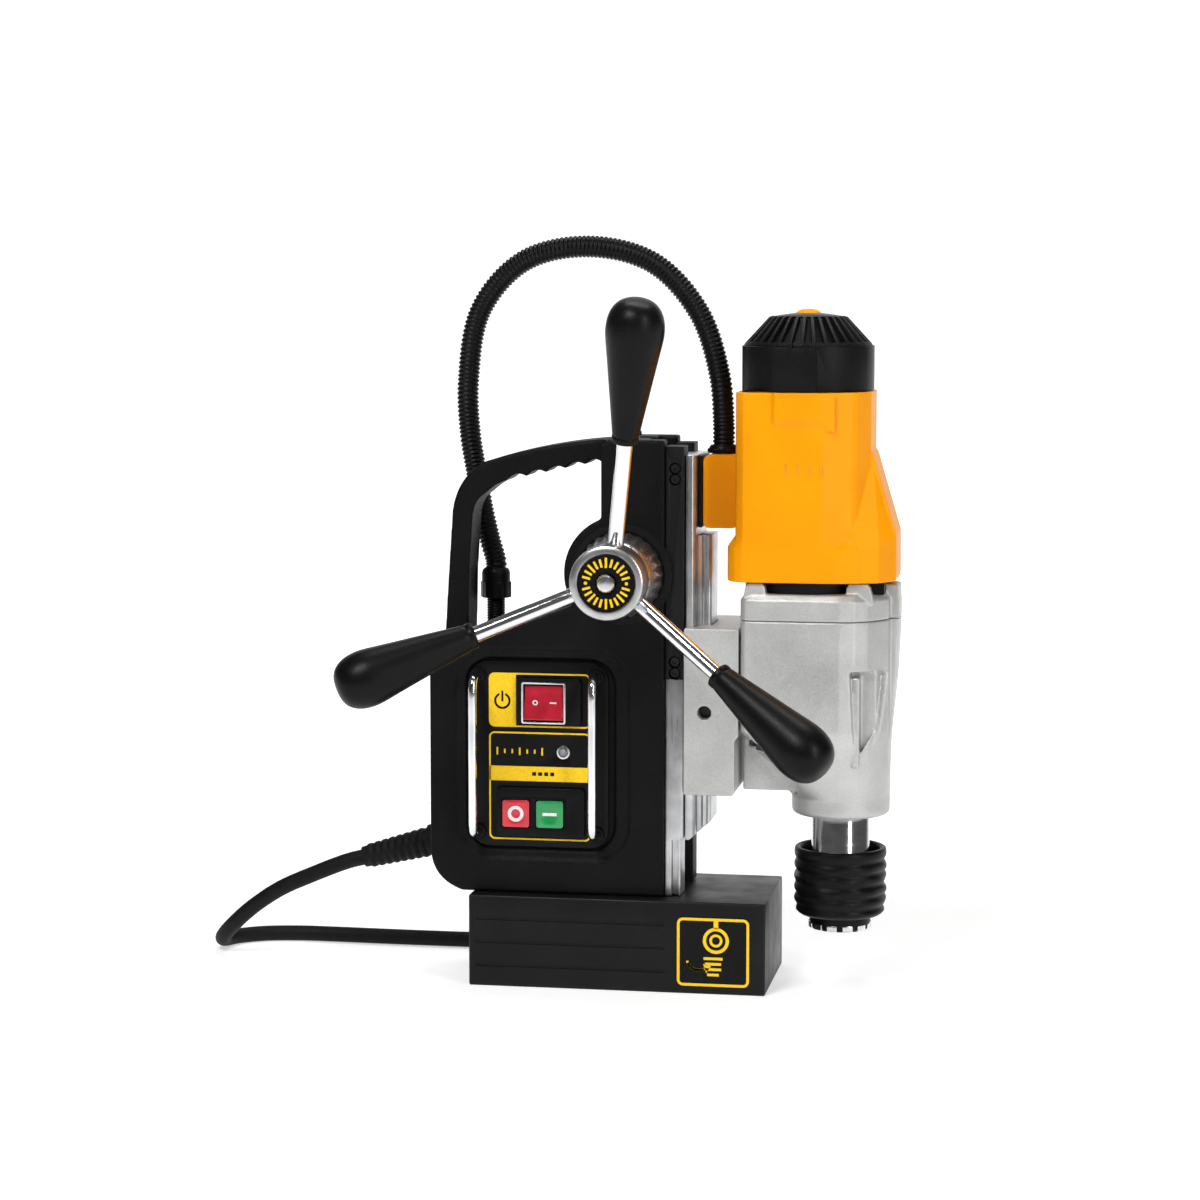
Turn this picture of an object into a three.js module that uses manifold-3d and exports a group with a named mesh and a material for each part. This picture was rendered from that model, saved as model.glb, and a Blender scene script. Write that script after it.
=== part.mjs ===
// Magnetic drill press: magnet base, cast frame, rack-fed drill head, feed wheel and mains lead.
// Millimetres, +Z up. Origin at the centre of the magnet's underside, +X towards the drill head,
// -Y towards the control panel.
import * as THREE from 'three';
import { mergeVertices } from 'three/addons/utils/BufferGeometryUtils.js';
import Module from 'manifold-3d';

const wasm = await Module();
wasm.setup();

// ---- driving dimensions ----
const gap = 0.3; // clearance between pieces that touch
const magnet = { length: 165, width: 82.5, height: 51, wall: 12, poleLength: 92, poleWidth: 26, pocket: 33 };
const baseBolt = { spots: [-70, -28], shank: 5, head: 8, hole: 14 };
const frame = { rear: -106, front: 25, near: -32, far: 30, floor: magnet.height + gap, top: 302.5 };
const column = { rear: -10, channel: 14.6, halfChannel: 18.8, rackPocket: 6, bossRadius: 32 };
const feed = { x: 1.4, z: 229.3, module: 2, teeth: 12, hubRadius: 21.5, hubFront: -82 };
const spoke = {
  count: 3, first: 82, tilt: 17.5, radius: 4.4,
  y: -64.5, inner: 9.6, knobStart: 76, length: 150,
};
const knob = { length: 79, neck: 7.2, radius: 15.4, bore: 34 };
const panel = { x0: -84, x1: -6, z0: 77, z1: 180, front: -30.2, back: -28.3 };
const slideBar = {
  back: 35.6, plate: 41, rib: 48.5, halfPlate: 24,
  halfRib: 14, z0: 82, z1: 294, ribTop: 250,
};
const bracket = { x0: 36.2, x1: 66.2, halfWidth: 35, z0: 109, shoulder: 140, z1: 200.5 };
const motor = { x: 99.5, z0: 226.3, z1: 328.9, capTop: 353.3, coneTop: 369, capRadius: 35.6 };
const gearCase = {
  x0: 66.5, x1: 146, halfWidth: 37, wall: 3.6,
  z0: 96, seam: 205.3, z1: 220, noseRadius: 27,
};
const spindle = { x: 119.3, radius: 16, chuckRadius: 16.6, bottom: 32, shank: 9.55, shankTop: 84 };
const sleeve = { radius: 25.5, z0: 39.5, z1: 77, cup: 70 };
const idler = { x: 101.35, y: 17.4 };
const conduit = { radius: 6.2, gland: { x: -79.8, y: 24.2 }, box: { x: 52.7, y: 4 } };
const cord = { radius: 4.5, exitZ: 74, reliefLength: 46, slope: 15 };
const coil = { x: -52, y: 107, turn: 45, pitch: 9 };
const plug = {
  x: 13.8, y: 66.2, turn: 5, length: 36, halfWidth: 14,
  height: 26, boot: 18, pin: 17, tailZ: 22.4,
};
const rocker = { x0: -57, x1: -21, z0: 145, z1: 171, depth: 12, x: -41.7, z: 157.5, pivotY: -30.2 };
const buttons = { x0: -68.5, x1: -19, z0: 82.6, z1: 110, depth: 12 };
const button = { z: 95.7, half: 7.6, stopX: -57.2, startX: -38.2 };
const lamp = { x: -31, z: 130 };
const guard = { xs: [-79, -12.5], z0: 84.5, z1: 172, y: -45, radius: 2.4 };

// ---- colours ----
const paint = (color, roughness, metalness) =>
  new THREE.MeshStandardMaterial({ color, roughness, metalness });
const finishes = {
  castBlack: () => paint(0x1b1b1d, 0.6, 0.2),
  plasticBlack: () => paint(0x141416, 0.5, 0),
  rubberBlack: () => paint(0x101012, 0.7, 0),
  yellow: () => paint(0xffb000, 0.4, 0),
  castSilver: () => paint(0xc9c9c6, 0.45, 0.7),
  steel: () => paint(0xb4b6b8, 0.3, 0.9),
  chrome: () => paint(0xe6e8ea, 0.12, 1),
  copper: () => paint(0xb06a3c, 0.4, 0.8),
  brass: () => paint(0xc8a24c, 0.35, 0.9),
  green: () => paint(0x1d9c4a, 0.4, 0),
  red: () => paint(0xd8283c, 0.35, 0),
  board: () => paint(0x1d5a34, 0.6, 0),
  lens: () => paint(0x9aa4ac, 0.2, 0.1),
};

// ---- solids ----
function toSolid(geometry) {
  const bare = geometry.clone();
  bare.deleteAttribute('normal');
  if (bare.attributes.uv) bare.deleteAttribute('uv');
  const merged = mergeVertices(bare, 1e-4);
  const vertProperties = new Float32Array(merged.attributes.position.array);
  const source = merged.index.array;
  const triVerts = [];
  for (let i = 0; i < source.length; i += 3) {
    const [a, b, c] = [source[i], source[i + 1], source[i + 2]];
    if (a !== b && b !== c && c !== a) triVerts.push(a, b, c);
  }
  if (signedVolume(vertProperties, triVerts) < 0) {
    for (let i = 0; i < triVerts.length; i += 3) {
      [triVerts[i], triVerts[i + 1]] = [triVerts[i + 1], triVerts[i]];
    }
  }
  const mesh = new wasm.Mesh({ numProp: 3, vertProperties, triVerts: new Uint32Array(triVerts) });
  return new wasm.Manifold(mesh);
}

function signedVolume(points, triangles) {
  const corner = (i) => new THREE.Vector3().fromArray(points, 3 * triangles[i]);
  let volume = 0;
  for (let i = 0; i < triangles.length; i += 3) {
    volume += corner(i).dot(corner(i + 1).cross(corner(i + 2))) / 6;
  }
  return volume;
}

function toGeometry(solid) {
  const result = solid.getMesh();
  const geometry = new THREE.BufferGeometry();
  geometry.setAttribute('position', new THREE.BufferAttribute(new Float32Array(result.vertProperties), 3));
  geometry.setIndex(new THREE.BufferAttribute(new Uint32Array(result.triVerts), 1));
  geometry.computeVertexNormals();
  return geometry;
}

const join = (first, ...rest) => rest.reduce((sum, piece) => sum.add(piece), first);
const cut = (first, ...rest) => rest.reduce((left, piece) => left.subtract(piece), first);

function box(x0, x1, y0, y1, z0, z1) {
  const geometry = new THREE.BoxGeometry(x1 - x0, y1 - y0, z1 - z0);
  return toSolid(geometry.translate((x0 + x1) / 2, (y0 + y1) / 2, (z0 + z1) / 2));
}

// A straight round bar from one point to another; the end radius makes it a cone.
function bar(from, to, radius, sides = 24, endRadius = radius) {
  const [a, b] = [new THREE.Vector3(...from), new THREE.Vector3(...to)];
  const along = b.clone().sub(a);
  const geometry = new THREE.CylinderGeometry(endRadius, radius, along.length(), sides);
  const turn = new THREE.Quaternion().setFromUnitVectors(new THREE.Vector3(0, 1, 0), along.normalize());
  geometry.applyQuaternion(turn);
  const middle = a.add(b).multiplyScalar(0.5);
  return toSolid(geometry.translate(middle.x, middle.y, middle.z));
}

const zBar = (x, y, z0, z1, radius, sides) => bar([x, y, z0], [x, y, z1], radius, sides);
const yBar = (x, z, y0, y1, radius, sides) => bar([x, y0, z], [x, y1, z], radius, sides);

const outline = (points) => new THREE.Shape(points.map(([x, y]) => new THREE.Vector2(x, y)));

// A flat shape drawn in X and Z, with its thickness along Y.
function plate(shape, y0, y1, curveSegments = 4) {
  const options = { depth: y1 - y0, bevelEnabled: false, curveSegments };
  const geometry = new THREE.ExtrudeGeometry(shape, options);
  return toSolid(geometry.rotateX(Math.PI / 2).translate(0, y1, 0));
}

// A flat shape drawn in X and Y, with its height along Z.
function prism(shape, z0, z1, curveSegments = 4) {
  const options = { depth: z1 - z0, bevelEnabled: false, curveSegments };
  return toSolid(new THREE.ExtrudeGeometry(shape, options).translate(0, 0, z0));
}

// A flat shape drawn in Y and Z, with its width along X.
function crossways(shape, x0, x1) {
  const geometry = new THREE.ExtrudeGeometry(shape, { depth: x1 - x0, bevelEnabled: false });
  return toSolid(geometry.rotateX(Math.PI / 2).rotateZ(Math.PI / 2).translate(x0, 0, 0));
}

// A profile of [radius, height] points turned about Z.
function turned(profile, sides = 32) {
  const points = profile.map(([r, z]) => new THREE.Vector2(r, z));
  return toSolid(new THREE.LatheGeometry(points, sides).rotateX(Math.PI / 2));
}

// The same about Y: heights in the profile become Y.
function turnedAboutY(profile, sides = 32) {
  const points = profile.map(([r, y]) => new THREE.Vector2(r, y));
  return toSolid(new THREE.LatheGeometry(points, sides));
}

function roundedRectangle(x0, x1, y0, y1, r) {
  const shape = new THREE.Shape();
  shape.moveTo(x0 + r, y0);
  shape.lineTo(x1 - r, y0).absarc(x1 - r, y0 + r, r, -Math.PI / 2, 0);
  shape.lineTo(x1, y1 - r).absarc(x1 - r, y1 - r, r, 0, Math.PI / 2);
  shape.lineTo(x0 + r, y1).absarc(x0 + r, y1 - r, r, Math.PI / 2, Math.PI);
  shape.lineTo(x0, y0 + r).absarc(x0 + r, y0 + r, r, Math.PI, 1.5 * Math.PI);
  return shape;
}

// A round tube body swept along a smooth curve through the points.
function swept(points, radius, steps, sides = 10) {
  const curve = new THREE.CatmullRomCurve3(points.map((p) => new THREE.Vector3(...p)), false, 'centripetal');
  const section = new THREE.Shape();
  for (let i = 0; i < sides; i += 1) {
    const angle = (2 * Math.PI * i) / sides;
    const point = [radius * Math.cos(angle), radius * Math.sin(angle)];
    if (i === 0) section.moveTo(...point);
    else section.lineTo(...point);
  }
  return toSolid(new THREE.ExtrudeGeometry(section, { steps, extrudePath: curve, bevelEnabled: false }));
}

// Straight-sided gear teeth: the outline of a spur gear with a tooth centred on the given angle.
function gearShape(teeth, module, toothAngle) {
  const pitchRadius = (teeth * module) / 2;
  const [tip, root] = [pitchRadius + 0.65 * module, pitchRadius - 1.15 * module];
  const step = (2 * Math.PI) / teeth;
  const points = [];
  for (let i = 0; i < teeth; i += 1) {
    const centre = toothAngle + i * step;
    for (const [radius, offset] of [[root, -0.29], [tip, -0.13], [tip, 0.13], [root, 0.29]]) {
      points.push([radius * Math.cos(centre + offset * step), radius * Math.sin(centre + offset * step)]);
    }
  }
  return outline(points);
}

function node(parent, name, solid, material) {
  const mesh = new THREE.Mesh(toGeometry(solid), material);
  mesh.name = name;
  parent.add(mesh);
  return mesh;
}

// ---- magnet base ----
function magnetBase() {
  const { length, width, height, wall, poleLength, poleWidth, pocket } = magnet;
  const block = box(-length / 2, length / 2, -width / 2, width / 2, 0, height);
  const hollow = box(-length / 2 + wall, length / 2 - wall, -width / 2 + wall, width / 2 - wall, -1, pocket);
  const pole = box(-poleLength / 2, poleLength / 2, -poleWidth / 2, poleWidth / 2, 0, pocket + 1);
  const grooves = [];
  for (const side of [-1, 1]) {
    for (const z of [12, 25, 38]) {
      const y = (side * width) / 2;
      grooves.push(box(-length / 2 + 4, 27, y - 0.7, y + 0.7, z - 0.9, z + 0.9));
    }
  }
  const { spots, shank, hole } = baseBolt;
  const holes = spots.map((x) => zBar(x, 0, height - hole, height + 1, shank + gap, 16));
  return cut(join(cut(block, hollow, ...grooves), pole), ...holes);
}

// A ring that fills the pocket between the outer pole and the centre pole.
function pocketRing(z0, z1, clearance) {
  const { length, width, wall, poleLength, poleWidth } = magnet;
  const [x, y] = [length / 2 - wall - clearance, width / 2 - wall - clearance];
  const [px, py] = [poleLength / 2 + clearance, poleWidth / 2 + clearance];
  return cut(box(-x, x, -y, y, z0, z1), box(-px, px, -py, py, z0 - 1, z1 + 1));
}

function boltThroughFloor(x) {
  const { shank, head, hole } = baseBolt;
  const seat = frame.floor + 6 + gap;
  const stem = zBar(x, 0, magnet.height - hole + 1, seat + 1, shank, 16);
  const hexSocket = zBar(x, 0, seat + 3, seat + 9, 4, 6);
  return cut(join(stem, zBar(x, 0, seat, seat + 8, head, 20)), hexSocket);
}

// ---- frame casting ----
// Side outline of the electronics housing: rounded rear heel and a top that slopes up to the column.
function housingShape(inset) {
  const heel = 24;
  const [rear, floor] = [frame.rear + inset, frame.floor + inset];
  const shape = new THREE.Shape();
  shape.moveTo(frame.rear + 18, floor);
  shape.quadraticCurveTo(rear + inset, floor + 6, rear, floor + heel);
  shape.lineTo(rear, 183.5 - inset);
  shape.quadraticCurveTo(rear, 187.5 - inset, rear + 6, 187.5 - inset);
  shape.lineTo(-86, 187.5 - inset);
  shape.lineTo(-25.5, 212 - inset);
  return shape;
}

function frameCasting() {
  const { near, far, front, floor, top } = frame;
  const lower = housingShape(0);
  lower.lineTo(column.rear + 2, 212);
  lower.lineTo(column.rear + 2, floor);
  const post = outline([
    [column.rear, floor], [front, floor], [front, top], [column.rear + 3, top], [column.rear, top - 2],
  ]);
  const body = join(
    plate(lower, near, far),
    plate(post, near, far),
    cut(yBar(feed.x, feed.z, near, far, column.bossRadius, 32), box(front, 60, -60, 60, 180, 280)),
  );
  const cavity = housingShape(4.5);
  cavity.lineTo(-34, 196);
  cavity.lineTo(column.rear - 4, 188);
  cavity.lineTo(column.rear - 4, floor + 6);
  cavity.lineTo(frame.rear + 26, floor + 6);
  return cut(
    body,
    plate(cavity, near + 8, far + 1),
    sideCoverSeat(),
    plate(roundedRectangle(-91, 6, 70, 187, 20), near - 1, near + 2),
    plate(roundedRectangle(-86, -2, 75, 182, 15), near - 1, near + 4),
    box(-70, -16, near - 1, near + 9, 81, 173),
    box(column.channel, front + 1, -column.halfChannel, column.halfChannel, floor + 1.7, top + 1),
    box(column.rackPocket, column.channel + 1, -8, 8, floor + 1.7, top + 1),
    yBar(feed.x, feed.z, -7.5, 7.5, 15.3, 24),
    yBar(feed.x, feed.z, near - 1, far + 1, 11, 24),
    bar([frame.rear - 1, 0, cord.exitZ], [frame.rear + 12, 0, cord.exitZ], 6.8, 20),
    ...baseBolt.spots.map((x) => zBar(x, 0, floor - 1, floor + 7, baseBolt.shank + gap, 16)),
  );
}

const coverShape = (clearance) =>
  roundedRectangle(-100 + clearance, -12 - clearance, 62 + clearance, 184 - clearance, 8);
const sideCoverSeat = () => plate(coverShape(0), frame.far - 3, frame.far + 1);

function sideCover() {
  const [vents, ventPitch, ventHeight] = [[], 8, 3];
  for (let i = 0; i < 6; i += 1) {
    const z = 96 + i * ventPitch;
    vents.push(box(-88, -52, frame.far - 5, frame.far + 3, z, z + ventHeight));
  }
  return cut(plate(coverShape(gap), frame.far - 2.7, frame.far), ...vents);
}

// ---- handle ----
// A loop with a rear leg and a finger-scalloped grip, bolted to the column at its front end.
function carryHandle() {
  const shape = new THREE.Shape();
  const foot = 187.5 + gap;
  shape.moveTo(-101.5, foot);
  shape.lineTo(-100, 214);
  shape.quadraticCurveTo(-98, 245, -96.8, 262);
  shape.quadraticCurveTo(-94, 280, -79, 288.5);
  shape.quadraticCurveTo(-45, 299.5, column.rear - gap, 302);
  shape.lineTo(column.rear - gap, 286);
  shape.quadraticCurveTo(-13, 291.5, -18.5, 290.5);
  const scallops = 4;
  const [start, end] = [new THREE.Vector2(-22, 289), new THREE.Vector2(-66, 280)];
  for (let i = 0; i < scallops; i += 1) {
    const at = (t) => start.clone().lerp(end, t);
    const [ridge, hollow, next] = [at(i / scallops), at((i + 0.5) / scallops), at((i + 1) / scallops)];
    shape.lineTo(ridge.x, ridge.y - 1.6);
    shape.quadraticCurveTo(hollow.x, hollow.y + 3.4, next.x, next.y - 1.6);
  }
  shape.quadraticCurveTo(-72, 277, -78, 271);
  shape.quadraticCurveTo(-84.5, 268, -85.4, 258);
  shape.lineTo(-87.4, 228);
  shape.lineTo(-88.3, foot);
  return plate(shape, -13.7, 13.7, 5);
}

// ---- column guides ----
// Strips bolted to the column's front edges; they hold the slide's inner flange.
function guideStrip(side, z0, z1, front) {
  const [inner, outer] = [12, 28];
  const [y0, y1] = side < 0 ? [-outer, -inner] : [inner, outer];
  return box(frame.front + gap, front, y0, y1, z0, z1);
}

function guideUpperNear() {
  const recesses = [];
  for (const z of [178, 284]) {
    for (const step of [-2.6, 2.6]) recesses.push(yBar(30.2, z + step, -29, -24, 3, 12));
  }
  return cut(guideStrip(-1, 171.8, 299, 35.1), ...recesses);
}

function guideLowerNear() {
  const strip = join(guideStrip(-1, 83, 171.5, 35.1), guideStrip(-1, frame.floor + gap, 83.5, 34));
  return cut(strip, box(29, 32, -29, -25, frame.floor, 82.5));
}

const guideFar = () => guideStrip(1, frame.floor + gap, 299, 35.1);

// ---- feed wheel, drawn about its own axis: the group sits on the pinion's centre ----
function pinionBush(y0, y1) {
  return turnedAboutY([[8, y0], [10.8, y0], [10.8, y1], [8, y1], [8, y0]], 24);
}

function pinionShaft() {
  const toothed = plate(gearShape(feed.teeth, feed.module, Math.PI / feed.teeth), -6.8, 6.8);
  return join(toothed, yBar(0, 0, -61, frame.far - 1, 7.7, 24));
}

function feedHub() {
  const r = feed.hubRadius;
  const front = feed.hubFront;
  const body = turnedAboutY([
    [0, -32.6], [r - 1.5, -32.6], [r, -34], [r, -54], [r - 3, -57], [r - 3, -60], [20, -62],
    [20, front + 1.5], [18.6, front], [15.6, front], [15.6, front + 2.6], [0, front + 2.6], [0, -32.6],
  ], 28);
  const sockets = spokeAngles().map((angle) => spokeBar(angle, 2, 40, spoke.radius + gap));
  const stemHole = yBar(0, 0, front, -68, 5.4, 20);
  return cut(body, ...sockets, yBar(0, 0, -61.5, -30, 8, 24), stemHole);
}

function spokeAngles() {
  return Array.from({ length: spoke.count }, (_, i) => {
    return THREE.MathUtils.degToRad(spoke.first + (i * 360) / spoke.count);
  });
}

// A point on a spoke's centre line, at a radius from the wheel's axis.
function alongSpoke(angle, radius) {
  const lean = Math.tan(THREE.MathUtils.degToRad(spoke.tilt));
  return [radius * Math.cos(angle), spoke.y - (radius - 14) * lean, radius * Math.sin(angle)];
}

const spokeBar = (angle, r0, r1, radius) => bar(alongSpoke(angle, r0), alongSpoke(angle, r1), radius, 12);

const hubDisc = () => turnedAboutY(
  [[5.6, -81.7], [15.3, -81.7], [15.3, -79.7], [5.6, -79.7], [5.6, -81.7]], 32);

const releaseButton = () => turnedAboutY(
  [[0, -84.6], [4, -84.6], [5, -83.8], [5, -80.5], [5, -73], [0, -73], [0, -84.6]], 24);

// A tapered grip with a domed end, turned about the spoke it is screwed to.
function knobSolid() {
  const { length, neck, radius, bore } = knob;
  const grip = turned([
    [0, 0], [neck, 0], [neck + 0.4, 3], [9.2, 18], [12.4, 40], [radius, 58], [14.6, 67],
    [11.2, 74.5], [5.6, length - 0.9], [0, length],
  ], 18);
  return cut(grip, zBar(0, 0, -1, bore, spoke.radius + gap, 16));
}

function placeOnSpoke(mesh, angle) {
  const start = new THREE.Vector3(...alongSpoke(angle, spoke.knobStart));
  const ahead = new THREE.Vector3(...alongSpoke(angle, spoke.length)).sub(start).normalize();
  mesh.position.copy(start);
  mesh.quaternion.setFromUnitVectors(new THREE.Vector3(0, 0, 1), ahead);
}

// ---- drill head ----
function slideSolid() {
  const { back, plate: face, rib, halfPlate, halfRib, z0, z1, ribTop } = slideBar;
  const head = [column.channel + 0.4, frame.front - gap];
  const halfHead = column.halfChannel - gap;
  const bodyShape = outline([
    [head[0], -halfHead], [head[1], -halfHead], [head[1], -11.4], [back, -11.4], [back, -halfPlate],
    [face - 2, -halfPlate], [face, -halfPlate + 2], [face, halfPlate - 2], [face - 2, halfPlate],
    [back, halfPlate], [back, 11.4], [head[1], 11.4], [head[1], halfHead], [head[0], halfHead],
  ]);
  const ribShape = outline([
    [face - 1, -halfRib], [face + 2, -halfRib], [face + 3, -halfRib + 2], [face + 5, -halfRib + 2],
    [rib - 1, -halfRib], [rib, -halfRib + 1], [rib, halfRib - 1], [rib - 1, halfRib],
    [face + 5, halfRib - 2], [face + 3, halfRib - 2], [face + 2, halfRib], [face - 1, halfRib],
  ]);
  const slant = z0 + 9.8;
  const below = outline([[38, z0 - 1], [38, z0], [rib + 1, slant], [60, slant], [60, z0 - 1]]);
  const bottom = plate(below, -30, 30);
  const rackSlot = box(column.channel, 20, -6.3, 6.3, z0 - 1, z1 + 1);
  return cut(join(prism(bodyShape, z0, z1), prism(ribShape, z0, ribTop)), bottom, rackSlot);
}

// The rack's teeth face the pinion; the pitch line is one pitch radius from the pinion's axis.
function rackSolid() {
  const { module, teeth, x } = feed;
  const pitchLine = x + (module * teeth) / 2;
  const [tip, root] = [pitchLine - 0.65 * module, pitchLine + 1.2 * module];
  const step = Math.PI * module;
  const [z0, z1] = [slideBar.z0, slideBar.z1];
  const points = [[19.7, z0], [19.7, z1]];
  const first = Math.floor((z1 - feed.z) / step - 0.5);
  const last = Math.ceil((z0 - feed.z) / step + 0.5);
  for (let i = first; i >= last; i -= 1) {
    const z = feed.z + i * step;
    const [foot, crown] = [0.31 * step, 0.14 * step];
    points.push([root, z + foot], [tip, z + crown], [tip, z - crown], [root, z - foot]);
  }
  return plate(outline([points[0], points[1], [root, z1], ...points.slice(2), [root, z0]]), -6, 6);
}

function headBracket() {
  const { x0, x1, halfWidth, z0, shoulder, z1 } = bracket;
  const side = outline([
    [x0, z0], [x1 - 3, z0], [x1 - 2, z0 + 2], [x1 - 2, shoulder], [x1, shoulder + 2], [x1, z1], [x0, z1],
  ]);
  const grip = plate(side, -halfWidth, halfWidth);
  const { plate: face, rib, halfPlate, halfRib } = slideBar;
  return cut(
    grip,
    box(x0 - 1, face + gap, -halfPlate - gap, halfPlate + gap, z0 - 1, z1 + 1),
    box(x0 - 1, rib + gap, -halfRib - gap, halfRib + gap, z0 - 1, z1 + 1),
    yBar(47.6, 154.5, -halfWidth - 1, -halfRib - 4, 3.8, 20),
    yBar(47.6, 154.5, halfRib + 4, halfWidth + 1, 3.8, 20),
  );
}

// Plan outline shared by the gear case and its cover, pulled in by an inset.
function casePlan(inset) {
  const { x0, x1, halfWidth } = gearCase;
  const [left, right, half] = [x0 + inset, x1 - inset, halfWidth - inset];
  return outline([
    [left, -half + 8], [left + 7, -half], [118, -half], [right - 4, -half + 14], [right, -half + 20],
    [right, half - 20], [right - 4, half - 14], [118, half], [left + 7, half], [left, half - 8],
  ]);
}

function gearCaseSolid() {
  const { x0, wall, z0, seam, noseRadius } = gearCase;
  const [sx, floor] = [spindle.x, 134];
  const shell = prism(casePlan(0), 112, seam);
  const corner = plate(outline([[x0 - 1, 111], [93, 111], [x0 - 1, 152]]), -60, 60);
  const web = plate(outline([[x0, 109.5], [102, 109.5], [102, 140], [x0, 158]]), -14, 14);
  const nose = zBar(sx, 0, z0, 150, noseRadius, 32);
  const wing = plate(outline([[140, 120], [147, 120], [149, 160], [151.3, seam], [140, seam]]), -9, 9);
  const cavity = prism(casePlan(wall), floor, seam + 1);
  const idlerPad = zBar(idler.x, idler.y, 120, 146, 8, 20);
  return cut(
    join(cut(shell, corner), web, nose, wing),
    cut(cavity, idlerPad),
    zBar(sx, 0, z0 - 1, floor + 1, spindle.radius + 0.6, 28),
    zBar(sx, 0, 112, floor + 1, 22.3, 28),
    zBar(idler.x, idler.y, 136, 160, 4.3, 20),
    box(127, 136.5, -gearCase.halfWidth - 1, -gearCase.halfWidth + 10, 122, 177),
  );
}

function gearCaseCover() {
  const { seam, z1, x0 } = gearCase;
  const lid = prism(casePlan(0), seam + gap, z1);
  const skirt = box(140, 151.3, -9, 9, seam + gap, z1 - 2);
  const postSpots = [[72, -24], [72, 24], [126, -24], [126, 24]];
  const posts = postSpots.map(([x, y]) => zBar(x, y, z1 - 1, motor.z0 - gap, 6, 16));
  const recess = prism(casePlan(gearCase.wall), seam, z1 - 5);
  return cut(
    join(lid, skirt, ...posts),
    cut(recess, zBar(idler.x, idler.y, seam - 1, z1, 7, 16)),
    zBar(motor.x, 0, seam - 1, z1 + 1, 8.4, 28),
    zBar(idler.x, idler.y, seam - 1, z1 - 3, 4.3, 20),
    box(x0 - 1, x0 + 3, -12, 12, z1 - 6, z1 + 1),
  );
}

function motorPlan(inset) {
  const half = 37 - inset;
  const [left, right] = [63.5 + inset, 135.7 - inset];
  return outline([
    [left, -half + 7], [left + 5, -half], [117 - inset / 2, -half], [right, -half + 18],
    [right, half - 18], [117 - inset / 2, half], [left + 5, half], [left, half - 7],
  ]);
}

function motorHousing() {
  const { z0, z1 } = motor;
  const flange = prism(outline([
    [58.8, -26], [66, -36], [100, -37.5], [137, -30], [137, 30], [100, 37.5], [66, 36], [58.8, 26],
  ]), z0, 248);
  const bulge = plate(outline([[130, z0], [149.7, z0], [149.7, 252.4], [136.6, 296], [130, 300]]), -20, 20);
  const roomShape = outline([[120, z0 - 1], [146, z0 - 1], [146, 251], [137, 281], [120, 281]]);
  const bulgeRoom = plate(roomShape, -16, 16);
  const boxWindow = box(60, 70, -6, 6, 262, 284);
  const pad = box(84, 108, -38.4, -36, 312, z1);
  const outside = join(prism(motorPlan(0), z0, z1), flange, bulge, pad);
  return cut(outside, prism(motorPlan(3), z0 - 1, z1 + 1), bulgeRoom, boxWindow);
}

function motorCap() {
  const { x, z1, capTop, coneTop, capRadius } = motor;
  const bottom = z1 + gap;
  const shell = turned([
    [capRadius - 3, bottom], [capRadius, bottom], [capRadius, capTop], [34, capTop + 1.5], [20.5, coneTop],
    [14, coneTop], [14, coneTop + 1.6], [0, coneTop + 1.6], [0, coneTop - 3], [18.5, coneTop - 3],
    [31.5, capTop - 1], [capRadius - 3, capTop - 2], [capRadius - 3, bottom],
  ], 30);
  const slots = [];
  for (let i = 0; i < 12; i += 1) {
    const slot = new THREE.BoxGeometry(10, 2.6, 22).translate(29, 0, capTop + 6);
    slots.push(toSolid(slot.rotateZ((i * Math.PI) / 6)));
  }
  const pad = box(84, 108, -36.8, -31, bottom, capTop - 0.5);
  return join(cut(shell, ...slots).translate([x, 0, 0]), pad);
}

function statorSolid() {
  const ring = turned([[19.6, 246], [31.5, 246], [31.5, 300], [19.6, 300], [19.6, 246]], 32);
  const windingSlots = box(-3, 3, -30, 30, 243, 303).intersect(zBar(0, 0, 245, 301, 23, 24));
  return cut(ring, windingSlots);
}

function brushHolder(side) {
  const [near, farEnd] = side < 0 ? [-32.5, -12.6] : [12.6, 32.5];
  return box(motor.x - 4.5, motor.x + 4.5, near, farEnd, 308, 316);
}

function armatureShaft() {
  const toward = Math.atan2(idler.y, idler.x - motor.x);
  const teeth = prism(gearShape(7, 1, toward), 191, 203);
  return join(teeth, zBar(0, 0, 203, 212, 4, 16), zBar(0, 0, 211, 345, 5, 16));
}

const sleeveOn = (inner, outer, z0, z1, sides) =>
  turned([[inner, z0], [outer, z0], [outer, z1], [inner, z1], [inner, z0]], sides);

function coolingFan() {
  const hub = sleeveOn(5.3, 11, 231, 242, 20);
  const disc = sleeveOn(10, 28, 231, 233, 24);
  const blades = [];
  for (let i = 0; i < 7; i += 1) {
    const blade = new THREE.BoxGeometry(17.5, 1.8, 8.5).rotateZ(0.35).translate(18.6, 0, 236.8);
    blades.push(toSolid(blade.rotateZ((i * 2 * Math.PI) / 7)));
  }
  return join(hub, disc, ...blades);
}

function idlerGear() {
  const fromMotor = Math.atan2(-idler.y, motor.x - idler.x);
  const toSpindle = Math.atan2(-idler.y, spindle.x - idler.x);
  const wheel = prism(gearShape(28, 1, fromMotor + Math.PI / 28), 193, 201);
  const small = prism(gearShape(8, 1.25, toSpindle), 151, 168);
  return join(wheel, small, zBar(0, 0, 136.6, 215, 4, 16), zBar(0, 0, 167, 194, 4.6, 16));
}

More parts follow.
